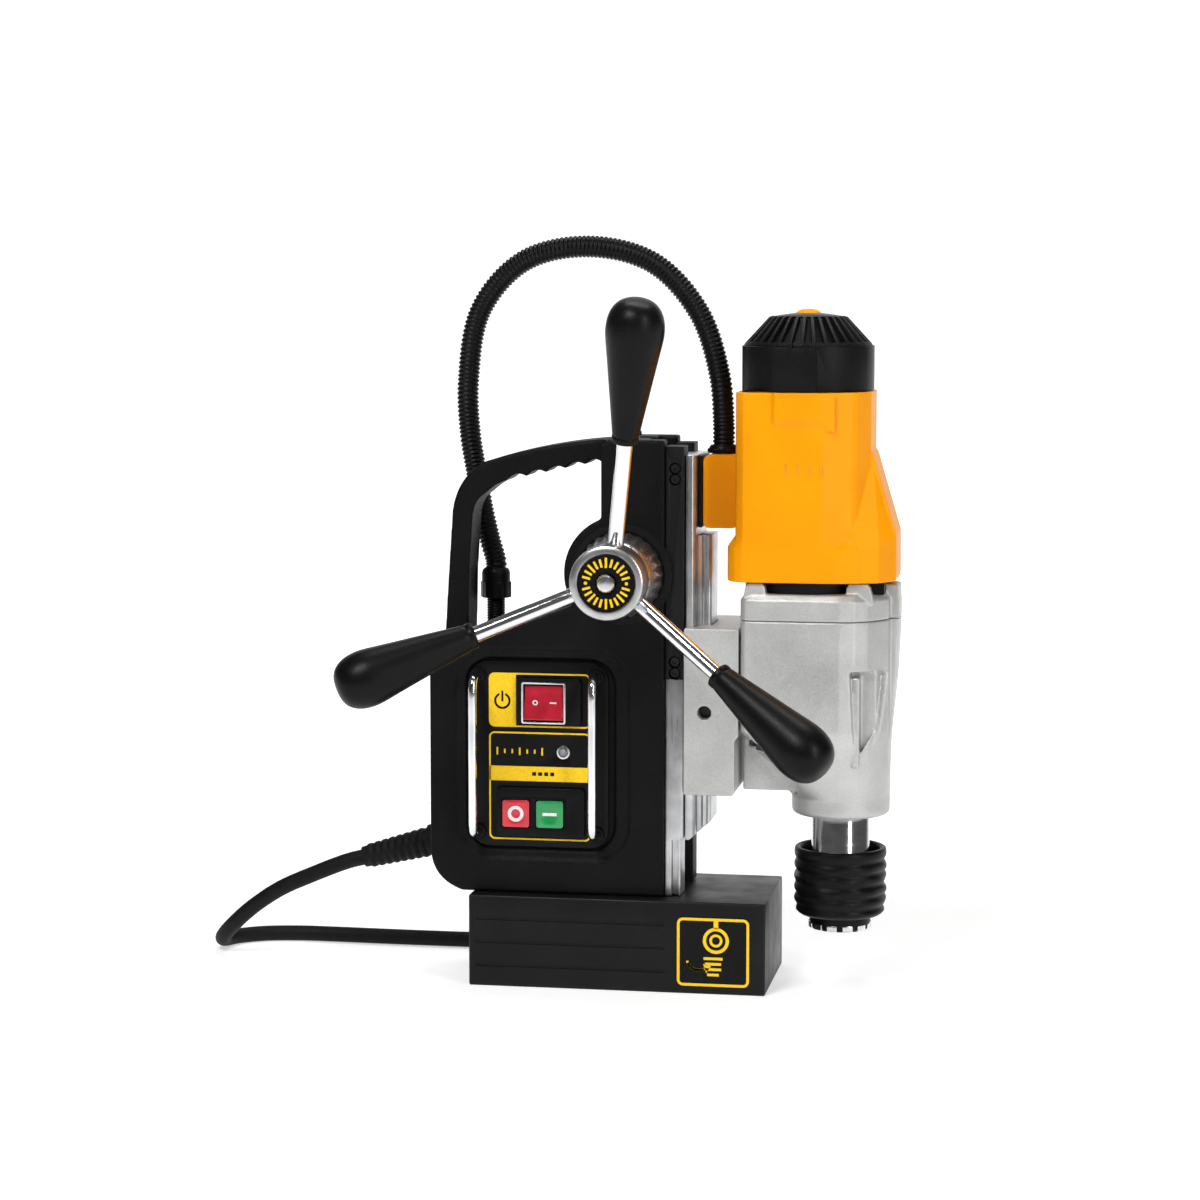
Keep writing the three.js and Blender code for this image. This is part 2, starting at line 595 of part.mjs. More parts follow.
function spindleSolid() {
  const { radius, chuckRadius, bottom, shank, shankTop } = spindle;
  const fromIdler = Math.atan2(idler.y, idler.x - spindle.x);
  const gear = prism(gearShape(32, 1.25, fromIdler + Math.PI / 32), 153, 165);
  const shaft = turned([
    [0, bottom], [chuckRadius - 1, bottom], [chuckRadius, bottom + 1], [chuckRadius, 70], [radius, 71],
    [radius, 113.5],
    [11.7, 113.5], [11.7, 153.5], [8, 165], [8, 178], [0, 178],
  ], 28);
  return cut(join(shaft, gear), zBar(0, 0, bottom - 1, shankTop, shank, 28));
}

const spindleBearing = () => sleeveOn(12, 22, 114.3, 130, 28).translate([spindle.x, 0, 0]);

function chuckSleeve() {
  const { radius, z0, z1, cup } = sleeve;
  const inner = spindle.chuckRadius + 0.5;
  const profile = [[inner, z0], [radius - 4, z0], [radius - 1, z0 + 3]];
  for (let z = z0 + 9; z < z1 - 8; z += 9) profile.push([radius, z - 3], [radius - 1.6, z], [radius, z + 3]);
  profile.push([radius, z1], [22, z1], [21.5, cup], [inner, cup], [inner, z0]);
  return turned(profile, 28);
}

function junctionBox() {
  const shell = plate(roundedRectangle(43.8, 63.2, 253.7, 293.7, 3.5), -15, 15, 3);
  return cut(shell, box(47, 64, -11.5, 11.5, 257, 290), zBar(conduit.box.x, conduit.box.y, 288, 295, 5, 16));
}

// ---- electrical pieces ----
function controlPanel() {
  const { x0, x1, z0, z1, front, back } = panel;
  const face = plate(roundedRectangle(x0, x1, z0, z1, 11), front, back);
  return cut(
    face,
    box(rocker.x0 + 2, rocker.x1 - 2, front - 1, back + 1, rocker.z0 + 2, rocker.z1 - 2),
    box(buttons.x0 + 2, buttons.x1 - 2, front - 1, back + 1, buttons.z0 + 2, buttons.z1 - 2),
    yBar(lamp.x, lamp.z, front - 1, back + 1, 2.8, 16),
    ...guardSpots().map(([x, z]) => yBar(x, z, front - 1, back + 1, 2.7, 12)),
  );
}

const guardSpots = () => guard.xs.flatMap((x) => [[x, guard.z0], [x, guard.z1]]);

// A shallow bezel with a body behind the panel; windows are cut for what it holds.
function bezel(area, windows) {
  const { x0, x1, z0, z1, depth } = area;
  const rim = plate(roundedRectangle(x0, x1, z0, z1, 2), panel.front - 2.6, panel.front - gap, 2);
  const body = box(x0 + 2.4, x1 - 2.4, panel.front - 0.6, panel.front + depth, z0 + 2.4, z1 - 2.4);
  return cut(join(rim, body), ...windows);
}

function rockerFrame() {
  const { x, z, depth } = rocker;
  const window = box(x - 11.5, x + 11.5, panel.front - 4, panel.front + depth - 2, z - 10.7, z + 10.7);
  return bezel(rocker, [window]);
}

function buttonFrame() {
  const reach = button.half + 0.4;
  const [y0, y1] = [panel.front - 4, panel.front + buttons.depth - 2];
  const windows = [button.stopX, button.startX].map((x) =>
    box(x - reach, x + reach, y0, y1, button.z - reach, button.z + reach));
  return bezel(buttons, windows);
}

// A rocker pivots about its own centre line; drawn about that line.
function rockerCap() {
  return crossways(outline([
    [-4.2, -9.4], [-1.8, 0], [-1.4, 9.4], [2.4, 9.4], [3.6, 3], [3.6, -3], [2.4, -9.4],
  ]), -11, 11);
}

function pushButton() {
  const { half } = button;
  return join(box(-half, half, panel.front - 3.6, panel.front + 4, -half, half),
    box(-2, 2, panel.front + 3, panel.front + 6, -2, 2));
}

function guardBar(x) {
  const { z0, z1, y, radius } = guard;
  const points = [
    [x, panel.back - 0.2, z0], [x, -38, z0], [x, y + 2.4, z0 + 1], [x, y, z0 + 5],
    [x, y - 0.6, (z0 + z1) / 2],
    [x, y, z1 - 5], [x, y + 2.4, z1 - 1], [x, -38, z1], [x, panel.back - 0.2, z1],
  ];
  return swept(points, radius, 16, 8);
}

function circuitBoard() {
  const board = box(-92, -22, 4, 5.6, 66, 170);
  const transformer = box(-88, -60, -9, 4.5, 72, 98);
  const capacitor = yBar(-40, 90, -14, 4.5, 8, 20);
  const relay = box(-50, -32, -8, 4.5, 120, 138);
  return join(board, transformer, capacitor, relay);
}

// ---- conduit and cord ----
const hexagon = (radius) => outline(Array.from({ length: 6 }, (_, i) => {
  return [radius * Math.cos((i * Math.PI) / 3), radius * Math.sin((i * Math.PI) / 3)];
}));

function lowerGland() {
  const { x, y } = conduit.gland;
  const foot = 193;
  const nut = prism(hexagon(8.9), 209.5, 219).translate([x, y, 0]);
  return cut(
    join(zBar(x, y, foot, 210, 5.2, 20), nut, zBar(x, y, 218, 226, 8, 20)),
    zBar(x, y, foot - 1, 227, 3.4, 16),
  );
}

const upperGland = () => sleeveOn(3.4, 8, 294, 298.4, 20).translate([conduit.box.x, conduit.box.y, 0]);

function conduitTube() {
  const { gland, box: top } = conduit;
  const points = [
    [gland.x, gland.y, 226.4], [gland.x, gland.y, 230], [-82.8, gland.y, 241], [-86.6, 24, 257],
    [-90.6, 23.6, 280], [-94, 23, 302], [-94.8, 22, 332], [-87, 20.5, 372], [-62, 18.5, 399],
    [-25, 15.5, 407], [12, 11.5, 398], [38, 8, 371], [50, 5.4, 337],
    [top.x, top.y, 308], [top.x, top.y, 298.7],
  ];
  return swept(points, conduit.radius, 34, 8);
}

function cordRelief() {
  const slope = THREE.MathUtils.degToRad(cord.slope);
  const start = [frame.rear - 1.2, 0, cord.exitZ];
  const at = (s) => [start[0] - s * Math.cos(slope), 0, start[2] - s * Math.sin(slope)];
  const boot = join(bar(at(2), at(cord.reliefLength), 8, 20, 6), bar(at(1.6), at(5), 9.4, 20));
  const root = bar([frame.rear + 9, 0, cord.exitZ], [frame.rear - 5, 0, cord.exitZ], 6.4, 20);
  const mouth = bar(at(cord.reliefLength + 1), at(cord.reliefLength - 8), cord.radius - 0.4, 12);
  return cut(join(boot, root), mouth);
}

function cordTube() {
  const slope = THREE.MathUtils.degToRad(cord.slope);
  const end = cord.reliefLength + 0.4;
  const [x0, z0] = [frame.rear - 1.2 - end * Math.cos(slope), cord.exitZ - end * Math.sin(slope)];
  const lying = cord.radius + 0.1;
  const points = [
    [x0, 0, z0], [x0 - 9.7, 0, z0 - 2.7], [-181, 0, 51.5], [-201.5, 0.4, 42], [-219, 3, 30], [-233, 9, 17.5],
    [-241, 18, 9], [-243, 29, lying + 0.6], [-238, 40, lying], [-225, 49, lying], [-205, 53.6, lying],
    [-180, 54, lying], [-150, 53.2, lying], [-120, 53, lying], [coil.x - 32, 53, lying],
  ];
  return swept(points, cord.radius, 26, 8);
}

// The coil's outer shape: three turns side by side and three layers high.
function coilRing() {
  const { turn, pitch } = coil;
  const [inner, outer, top, ease] = [turn - 1.5 * pitch, turn + 1.5 * pitch, 3 * pitch, 3];
  return turned([
    [inner, ease], [inner + ease, 0], [outer - ease, 0], [outer, ease], [outer, top - ease],
    [outer - ease, top], [inner + ease, top], [inner, top - ease], [inner, ease],
  ], 28);
}

// The plug lies beside the coil; its tapered boot takes the cord's tail from the top turn.
function plugSolid() {
  const { length, halfWidth, height, boot: bootLength, pin, tailZ } = plug;
  const section = roundedRectangle(-halfWidth, halfWidth, 0, height, 8);
  const options = { depth: length, bevelEnabled: false, curveSegments: 4 };
  const geometry = new THREE.ExtrudeGeometry(section, options);
  const body = toSolid(geometry.rotateX(Math.PI / 2).rotateZ(Math.PI / 2));
  const boot = bar([1, 0, 14], [-bootLength, 0, tailZ], 8.4, 16, 5.4);
  const pins = [-6.4, 6.4].map((y) => box(length - 1, length + pin, y - 0.8, y + 0.8, 11, 17));
  const earth = bar([length - 1, 0, 7], [length + pin + 1, 0, 7], 2.4, 12);
  return join(body, boot, ...pins, earth);
}

// ---- assembly ----
const machine = new THREE.Group();
const feedWheel = new THREE.Group();
const headAxis = new THREE.Group();
const idlerAxis = new THREE.Group();
const spindleAxis = new THREE.Group();
feedWheel.position.set(feed.x, 0, feed.z);
headAxis.position.set(motor.x, 0, 0);
idlerAxis.position.set(idler.x, idler.y, 0);
spindleAxis.position.set(spindle.x, 0, 0);
machine.add(feedWheel, headAxis, idlerAxis, spindleAxis);

node(machine, 'magnet_base', magnetBase(), finishes.castBlack());
node(machine, 'magnet_coil', pocketRing(8.3, magnet.pocket - 1.2, 0.6), finishes.copper());
node(machine, 'magnet_potting', pocketRing(0.8, 7.9, 0.3), finishes.plasticBlack());
baseBolt.spots.forEach((x, i) => {
  node(machine, ['base_bolt_rear', 'base_bolt_front'][i], boltThroughFloor(x), finishes.steel());
});

node(machine, 'frame_casting', frameCasting(), finishes.castBlack());
node(machine, 'carry_handle', carryHandle(), finishes.castBlack());
node(machine, 'side_cover', sideCover(), finishes.castBlack());
node(machine, 'guide_upper_near', guideUpperNear(), finishes.castBlack());
node(machine, 'guide_lower_near', guideLowerNear(), finishes.castSilver());
node(machine, 'guide_far', guideFar(), finishes.castBlack());

node(feedWheel, 'pinion_bush_near', pinionBush(frame.near + gap, -8), finishes.brass());
node(feedWheel, 'pinion_bush_far', pinionBush(8, frame.far - gap), finishes.brass());
node(feedWheel, 'pinion_shaft', pinionShaft(), finishes.steel());
node(feedWheel, 'feed_hub', feedHub(), finishes.steel());
node(feedWheel, 'hub_disc', hubDisc(), finishes.plasticBlack());
node(feedWheel, 'release_button', releaseButton(), finishes.chrome());
spokeAngles().forEach((angle, i) => {
  node(feedWheel, `spoke_${i + 1}`, spokeBar(angle, spoke.inner, 106, spoke.radius), finishes.chrome());
  placeOnSpoke(node(feedWheel, `knob_${i + 1}`, knobSolid(), finishes.plasticBlack()), angle);
});

node(machine, 'slide', slideSolid(), finishes.castSilver());
node(machine, 'rack', rackSolid(), finishes.steel());
node(machine, 'head_bracket', headBracket(), finishes.castSilver());
node(machine, 'gear_case', gearCaseSolid(), finishes.castSilver());
node(machine, 'gear_case_cover', gearCaseCover(), finishes.castSilver());
node(machine, 'motor_housing', motorHousing(), finishes.yellow());
node(machine, 'motor_cap', motorCap(), finishes.plasticBlack());
node(machine, 'junction_box', junctionBox(), finishes.yellow());
const boxBack = box(slideBar.plate + gap, 43.5, -15, 15, 254, 293.4);
node(machine, 'junction_box_back', boxBack, finishes.plasticBlack());
node(machine, 'conduit_gland_upper', upperGland(), finishes.plasticBlack());
node(headAxis, 'stator', statorSolid(), finishes.steel());
node(machine, 'brush_near', brushHolder(-1), finishes.brass());
node(machine, 'brush_far', brushHolder(1), finishes.brass());
node(machine, 'spindle_bearing', spindleBearing(), finishes.steel());

node(headAxis, 'armature_shaft', armatureShaft(), finishes.steel());
node(headAxis, 'rotor_core', sleeveOn(5.3, 18.2, 248, 298, 24), finishes.steel());
node(headAxis, 'commutator', sleeveOn(5.3, 12, 303, 320, 24), finishes.copper());
node(headAxis, 'cooling_fan', coolingFan(), finishes.plasticBlack());
node(idlerAxis, 'idler_gear', idlerGear(), finishes.steel());
node(spindleAxis, 'spindle', spindleSolid(), finishes.steel());
node(spindleAxis, 'chuck_sleeve', chuckSleeve(), finishes.rubberBlack());

node(machine, 'control_panel', controlPanel(), finishes.plasticBlack());
node(machine, 'rocker_frame', rockerFrame(), finishes.plasticBlack());
node(machine, 'button_frame', buttonFrame(), finishes.plasticBlack());
const lampSolid = yBar(lamp.x, lamp.z, panel.front - 1.2, panel.back + 2, 2.4, 16);
node(machine, 'overload_lamp', lampSolid, finishes.lens());
node(machine, 'circuit_board', circuitBoard(), finishes.board());
guard.xs.forEach((x, i) => {
  node(machine, ['guard_bar_left', 'guard_bar_right'][i], guardBar(x), finishes.chrome());
});
node(machine, 'magnet_rocker', rockerCap(), finishes.red()).position.set(rocker.x, rocker.pivotY, rocker.z);
node(machine, 'stop_button', pushButton(), finishes.red()).position.set(button.stopX, 0, button.z);
node(machine, 'start_button', pushButton(), finishes.green()).position.set(button.startX, 0, button.z);

node(machine, 'conduit_gland_lower', lowerGland(), finishes.plasticBlack());
node(machine, 'conduit', conduitTube(), finishes.rubberBlack());
node(machine, 'cord_relief', cordRelief(), finishes.rubberBlack());
node(machine, 'mains_cord', cordTube(), finishes.rubberBlack());
node(machine, 'mains_coil', coilRing(), finishes.rubberBlack()).position.set(coil.x, coil.y, 0);
const mainsPlug = node(machine, 'mains_plug', plugSolid(), finishes.rubberBlack());
mainsPlug.position.set(plug.x, plug.y, 0);
mainsPlug.rotation.z = THREE.MathUtils.degToRad(plug.turn);

export default machine;
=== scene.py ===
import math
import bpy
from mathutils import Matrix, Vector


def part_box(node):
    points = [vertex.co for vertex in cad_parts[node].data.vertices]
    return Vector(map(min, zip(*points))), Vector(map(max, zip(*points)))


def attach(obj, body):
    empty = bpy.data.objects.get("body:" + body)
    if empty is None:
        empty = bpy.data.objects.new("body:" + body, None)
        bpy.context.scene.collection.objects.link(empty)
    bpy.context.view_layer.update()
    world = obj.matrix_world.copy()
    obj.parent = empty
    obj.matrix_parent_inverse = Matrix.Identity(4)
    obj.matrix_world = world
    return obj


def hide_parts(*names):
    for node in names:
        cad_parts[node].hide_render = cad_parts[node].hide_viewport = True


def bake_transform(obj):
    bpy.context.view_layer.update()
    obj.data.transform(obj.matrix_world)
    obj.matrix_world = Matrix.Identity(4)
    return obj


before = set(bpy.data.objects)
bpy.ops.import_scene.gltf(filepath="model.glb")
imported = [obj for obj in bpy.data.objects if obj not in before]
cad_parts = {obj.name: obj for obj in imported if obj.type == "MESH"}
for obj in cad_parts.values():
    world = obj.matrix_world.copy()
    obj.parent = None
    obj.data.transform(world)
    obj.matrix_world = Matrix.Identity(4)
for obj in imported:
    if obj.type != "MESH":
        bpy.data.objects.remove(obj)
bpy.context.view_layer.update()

# Looks of the magnetic drill press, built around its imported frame.
# Shapes are worked out in millimetres and turned into metres when their mesh is made.
from types import SimpleNamespace

import bmesh
import bpy
from mathutils import Matrix, Vector

MM = 0.001


# ---------------------------------------------------------------- places from the frame
def span(node):
    """A CAD node's box in millimetres, with its centre and sizes."""
    low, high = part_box(node)
    (x0, y0, z0), (x1, y1, z1) = low / MM, high / MM
    return SimpleNamespace(x0=x0, x1=x1, y0=y0, y1=y1, z0=z0, z1=z1, x=(x0 + x1) / 2, y=(y0 + y1) / 2,
                           z=(z0 + z1) / 2, dx=x1 - x0, dy=y1 - y0, dz=z1 - z0)


MAGNET = span("magnet_base")
FRAME = span("frame_casting")
HANDLE = span("carry_handle")
PANEL = span("control_panel")
SLIDE = span("slide")
CASE = span("gear_case")
LID = span("gear_case_cover")
MOTOR = span("motor_housing")
CAP = span("motor_cap")

SHAFT = (1.4, 0, 229.3)      # the feed shaft's axis runs through here along Y
SPINDLE_X, MOTOR_X = 119.3, 99.5
IDLER = (101.35, 17.4)       # the idler's axis, as X and Y
BASE_BOLTS_X = (-70, -28)
LOWER_GLAND, UPPER_GLAND = (-79.8, 24.2), (52.7, 4)
CORD_EXIT_X, CORD_EXIT_Z, CORD_SLOPE = -107.2, 74, math.radians(15)
CORD_RADIUS, FLOOR_LAY = 4.45, 4.6
COIL, PLUG, PLUG_TURN = (-52, 107), (13.8, 66.2, 0), 5
STOP_X, START_X, BUTTONS_Z = -57.2, -38.2, 95.7
LAMP = (-31, 0, 130)
BARS_X, BAR_ENDS_Z = (-79, -12.5), (84.5, 172)
GUIDE_SCREWS_X, GUIDE_SCREWS_Z = 30.2, (178, 284)
BRACKET_HOLE = (47.6, 0, 154.5)


# ---------------------------------------------------------------- camera
def camera():
    data = bpy.data.cameras.new("camera")
    data.sensor_width, data.lens = 36.0, 94.25
    data.clip_start, data.clip_end = 0.05, 50
    eye = bpy.data.objects.new("camera", data)
    turn, dip = math.radians(9.774), math.radians(6.191)
    eye.location = (0.2792, -1.7127, 0.4000)
    eye.rotation_euler = (math.pi / 2 - dip, 0, turn)
    bpy.context.scene.collection.objects.link(eye)
    bpy.context.scene.camera = eye


# ---------------------------------------------------------------- mesh tools
def mesh_object(name, points, faces):
    """A mesh object from points in millimetres, with its faces turned outwards."""
    mesh = bpy.data.meshes.new(name)
    mesh.from_pydata([tuple(c * MM for c in p) for p in points], [], faces)
    work = bmesh.new()
    work.from_mesh(mesh)
    bmesh.ops.remove_doubles(work, verts=work.verts, dist=1e-7)
    bmesh.ops.recalc_face_normals(work, faces=work.faces)
    work.to_mesh(mesh)
    work.free()
    made = bpy.data.objects.new(name, mesh)
    bpy.context.scene.collection.objects.link(made)
    return made


AXES = {"X": lambda u, v, w: (w, u, v), "Y": lambda u, v, w: (u, w, v), "Z": lambda u, v, w: (u, v, w)}


def prism(name, outline, low, high, axis="Y"):
    """An outline given its thickness along one axis. It is drawn in X,Z for Y; X,Y for Z; and Y,Z for X."""
    place, n = AXES[axis], len(outline)
    points = [place(u, v, w) for w in (low, high) for u, v in outline]
    sides = [(i, (i + 1) % n, n + (i + 1) % n, n + i) for i in range(n)]
    return mesh_object(name, points, [tuple(range(n)), tuple(range(n, 2 * n)), *sides])


def block(name, x0, x1, y0, y1, z0, z1):
    return prism(name, [(x0, y0), (x1, y0), (x1, y1), (x0, y1)], z0, z1, "Z")


def filled(name, box):
    """A node's box as a solid."""
    return block(name, box.x0, box.x1, box.y0, box.y1, box.z0, box.z1)


def lathe(name, profile, centre=(0, 0, 0), axis="Z", steps=96):
    """A profile of (radius, height) points, closed on itself or on the axis, and turned about the axis."""
    place = {"Z": lambda x, y, h: (x, y, h), "Y": lambda x, y, h: (x, h, y),
             "X": lambda x, y, h: (h, x, y)}[axis]
    rings = profile[:-1] if profile[0] == profile[-1] else profile
    points, faces, n = [], [], len(rings)
    for i in range(steps):
        a = 2 * math.pi * i / steps
        for r, h in rings:
            x, y, z = place(r * math.cos(a), r * math.sin(a), h)
            points.append((x + centre[0], y + centre[1], z + centre[2]))
    last = n if profile[0] == profile[-1] else n - 1
    for i in range(steps):
        j = (i + 1) % steps
        for k in range(last):
            m = (k + 1) % n
            ring = [i * n + k, i * n + m, j * n + m, j * n + k]
            if rings[k][0] < 1e-9:
                ring = [i * n + k, i * n + m, j * n + m]
            elif rings[m][0] < 1e-9:
                ring = [i * n + k, i * n + m, j * n + k]
            faces.append(tuple(ring))
    return mesh_object(name, points, faces)


def rod(name, radius, low, high, centre=(0, 0, 0), axis="Z", steps=96):
    return lathe(name, [(0, low), (radius, low), (radius, high), (0, high)], centre, axis, steps)


def frames_along(path):
    """Two crossways directions at each point of a path, turned as little as possible from one to the next."""
    ahead = []
    for i in range(len(path)):
        a, b = path[max(i - 1, 0)], path[min(i + 1, len(path) - 1)]
        ahead.append((Vector(b) - Vector(a)).normalized())
    side = ahead[0].orthogonal().normalized()
    out = []
    for t in ahead:
        side = (side - t * side.dot(t)).normalized()
        out.append((side.copy(), t.cross(side)))
    return out


def tube(name, path, radius, sides=16):
    """A capped round tube along a path; radius is a number, or a function of the point's index."""
    size = radius if callable(radius) else (lambda i: radius)
    points, faces, n = [], [], len(path)
    for i, (p, (u, v)) in enumerate(zip(path, frames_along(path))):
        for k in range(sides):
            a = 2 * math.pi * k / sides
            points.append(tuple(Vector(p) + (u * math.cos(a) + v * math.sin(a)) * size(i)))
    for i in range(n - 1):
        for k in range(sides):
            m = (k + 1) % sides
            faces.append((i * sides + k, i * sides + m, (i + 1) * sides + m, (i + 1) * sides + k))
    faces += [tuple(range(sides)), tuple((n - 1) * sides + k for k in range(sides))]
    return mesh_object(name, points, faces)


def smooth_path(points, step):
    """A centripetal Catmull-Rom curve through the points, sampled about every step millimetres."""
    knots = [Vector(p) for p in points]
    knots = [knots[0] * 2 - knots[1], *knots, knots[-1] * 2 - knots[-2]]
    out = []
    for a, b, c, d in zip(knots, knots[1:], knots[2:], knots[3:]):
        t = [0.0]
        for p, q in ((a, b), (b, c), (c, d)):
            t.append(t[-1] + max((q - p).length, 1e-6) ** 0.5)
        count = max(1, round((c - b).length / step))
        for i in range(count):
            s = t[1] + (t[2] - t[1]) * i / count
            p1 = (a * (t[1] - s) + b * (s - t[0])) / (t[1] - t[0])
            p2 = (b * (t[2] - s) + c * (s - t[1])) / (t[2] - t[1])
            p3 = (c * (t[3] - s) + d * (s - t[2])) / (t[3] - t[2])
            q1 = (p1 * (t[2] - s) + p2 * (s - t[0])) / (t[2] - t[0])
            q2 = (p2 * (t[3] - s) + p3 * (s - t[1])) / (t[3] - t[1])
            out.append(tuple((q1 * (t[2] - s) + q2 * (s - t[1])) / (t[2] - t[1])))
    return out + [tuple(knots[-2])]


def arc(cx, cy, r, start, end, steps=10):
    """Points on an arc, with its angles in degrees."""
    angles = [math.radians(start + (end - start) * i / steps) for i in range(steps + 1)]
    return [(cx + r * math.cos(a), cy + r * math.sin(a)) for a in angles]


def polygon(x, y, r, sides):
    angles = [math.radians(360 / sides * i) for i in range(sides)]
    return [(x + r * math.cos(a), y + r * math.sin(a)) for a in angles]


def rounded(x0, x1, y0, y1, r, steps=10):
    return [*arc(x1 - r, y0 + r, r, -90, 0, steps), *arc(x1 - r, y1 - r, r, 0, 90, steps),
            *arc(x0 + r, y1 - r, r, 90, 180, steps), *arc(x0 + r, y0 + r, r, 180, 270, steps)]


def curve_between(a, control, b, steps=10):
    """Points on a quadratic curve from just after a up to b."""
    t = [(i + 1) / steps for i in range(steps)]
    return [tuple((1 - s) ** 2 * p + 2 * s * (1 - s) * c + s * s * q for p, c, q in zip(a, control, b))
            for s in t]


def settle(piece):
    """Bakes the piece's modifiers into its mesh."""
    bpy.context.view_layer.update()
    shown = piece.evaluated_get(bpy.context.evaluated_depsgraph_get())
    old, piece.data = piece.data, bpy.data.meshes.new_from_object(shown)
    piece.modifiers.clear()
    bpy.data.meshes.remove(old)
    return piece


def combine(piece, tools, operation):
    for tool in tools:
        change = piece.modifiers.new("combine", "BOOLEAN")
        change.operation, change.solver, change.object = operation, "MANIFOLD", tool
        settle(piece)
        bpy.data.objects.remove(tool)
    return piece


def cut(piece, *tools):
    return combine(piece, tools, "DIFFERENCE")


def join(piece, *tools):
    return combine(piece, tools, "UNION")


def soften(piece, voxel, rounds, share=0.35):
    """Rounds every edge and corner as a casting or moulding has them, then thins out the flat places."""
    grid = piece.modifiers.new("grid", "REMESH")
    grid.mode, grid.voxel_size = "VOXEL", voxel * MM
    ease = piece.modifiers.new("ease", "SMOOTH")
    ease.factor, ease.iterations = 0.5, rounds
    if share < 1:
        thin = piece.modifiers.new("thin", "DECIMATE")
        thin.ratio = share
    settle(piece)
    piece.data.polygons.foreach_set("use_smooth", [True] * len(piece.data.polygons))
    return piece


def ease_edges(piece, width, segments=3, angle=32):
    """Bevels the piece's edges and shades it smooth between its sharp ones."""
    bevel = piece.modifiers.new("edges", "BEVEL")
    bevel.width, bevel.segments, bevel.limit_method = width * MM, segments, "ANGLE"
    bevel.angle_limit, bevel.harden_normals = math.radians(angle), False
    settle(piece)
    return shade(piece)


def shade(piece, angle=38):
    piece.data.polygons.foreach_set("use_smooth", [True] * len(piece.data.polygons))
    piece.data.set_sharp_from_angle(angle=math.radians(angle))
    return piece


def moved(piece, offset=(0, 0, 0), turn=None):
    """Moves a piece's own mesh, in millimetres, after an optional turn."""
    matrix = Matrix.Translation(Vector(offset) * MM)
    piece.data.transform(matrix @ turn.to_4x4() if turn else matrix)
    return piece


def merged(name, parts):
    """Several loose shells as one piece."""
    work = bmesh.new()
    for part in parts:
        work.from_mesh(part.data)
        bpy.data.objects.remove(part)
    mesh = bpy.data.meshes.new(name)
    work.to_mesh(mesh)
    work.free()
    made = bpy.data.objects.new(name, mesh)
    bpy.context.scene.collection.objects.link(made)
    return shade(made)


def show(piece, body, look, stands_for=()):
    """Gives a piece its material and its body, and hides the CAD nodes that it stands for."""
    piece.data.materials.clear()
    piece.data.materials.append(look)
    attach(piece, body)
    if stands_for:
        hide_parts(*([stands_for] if isinstance(stands_for, str) else stands_for))


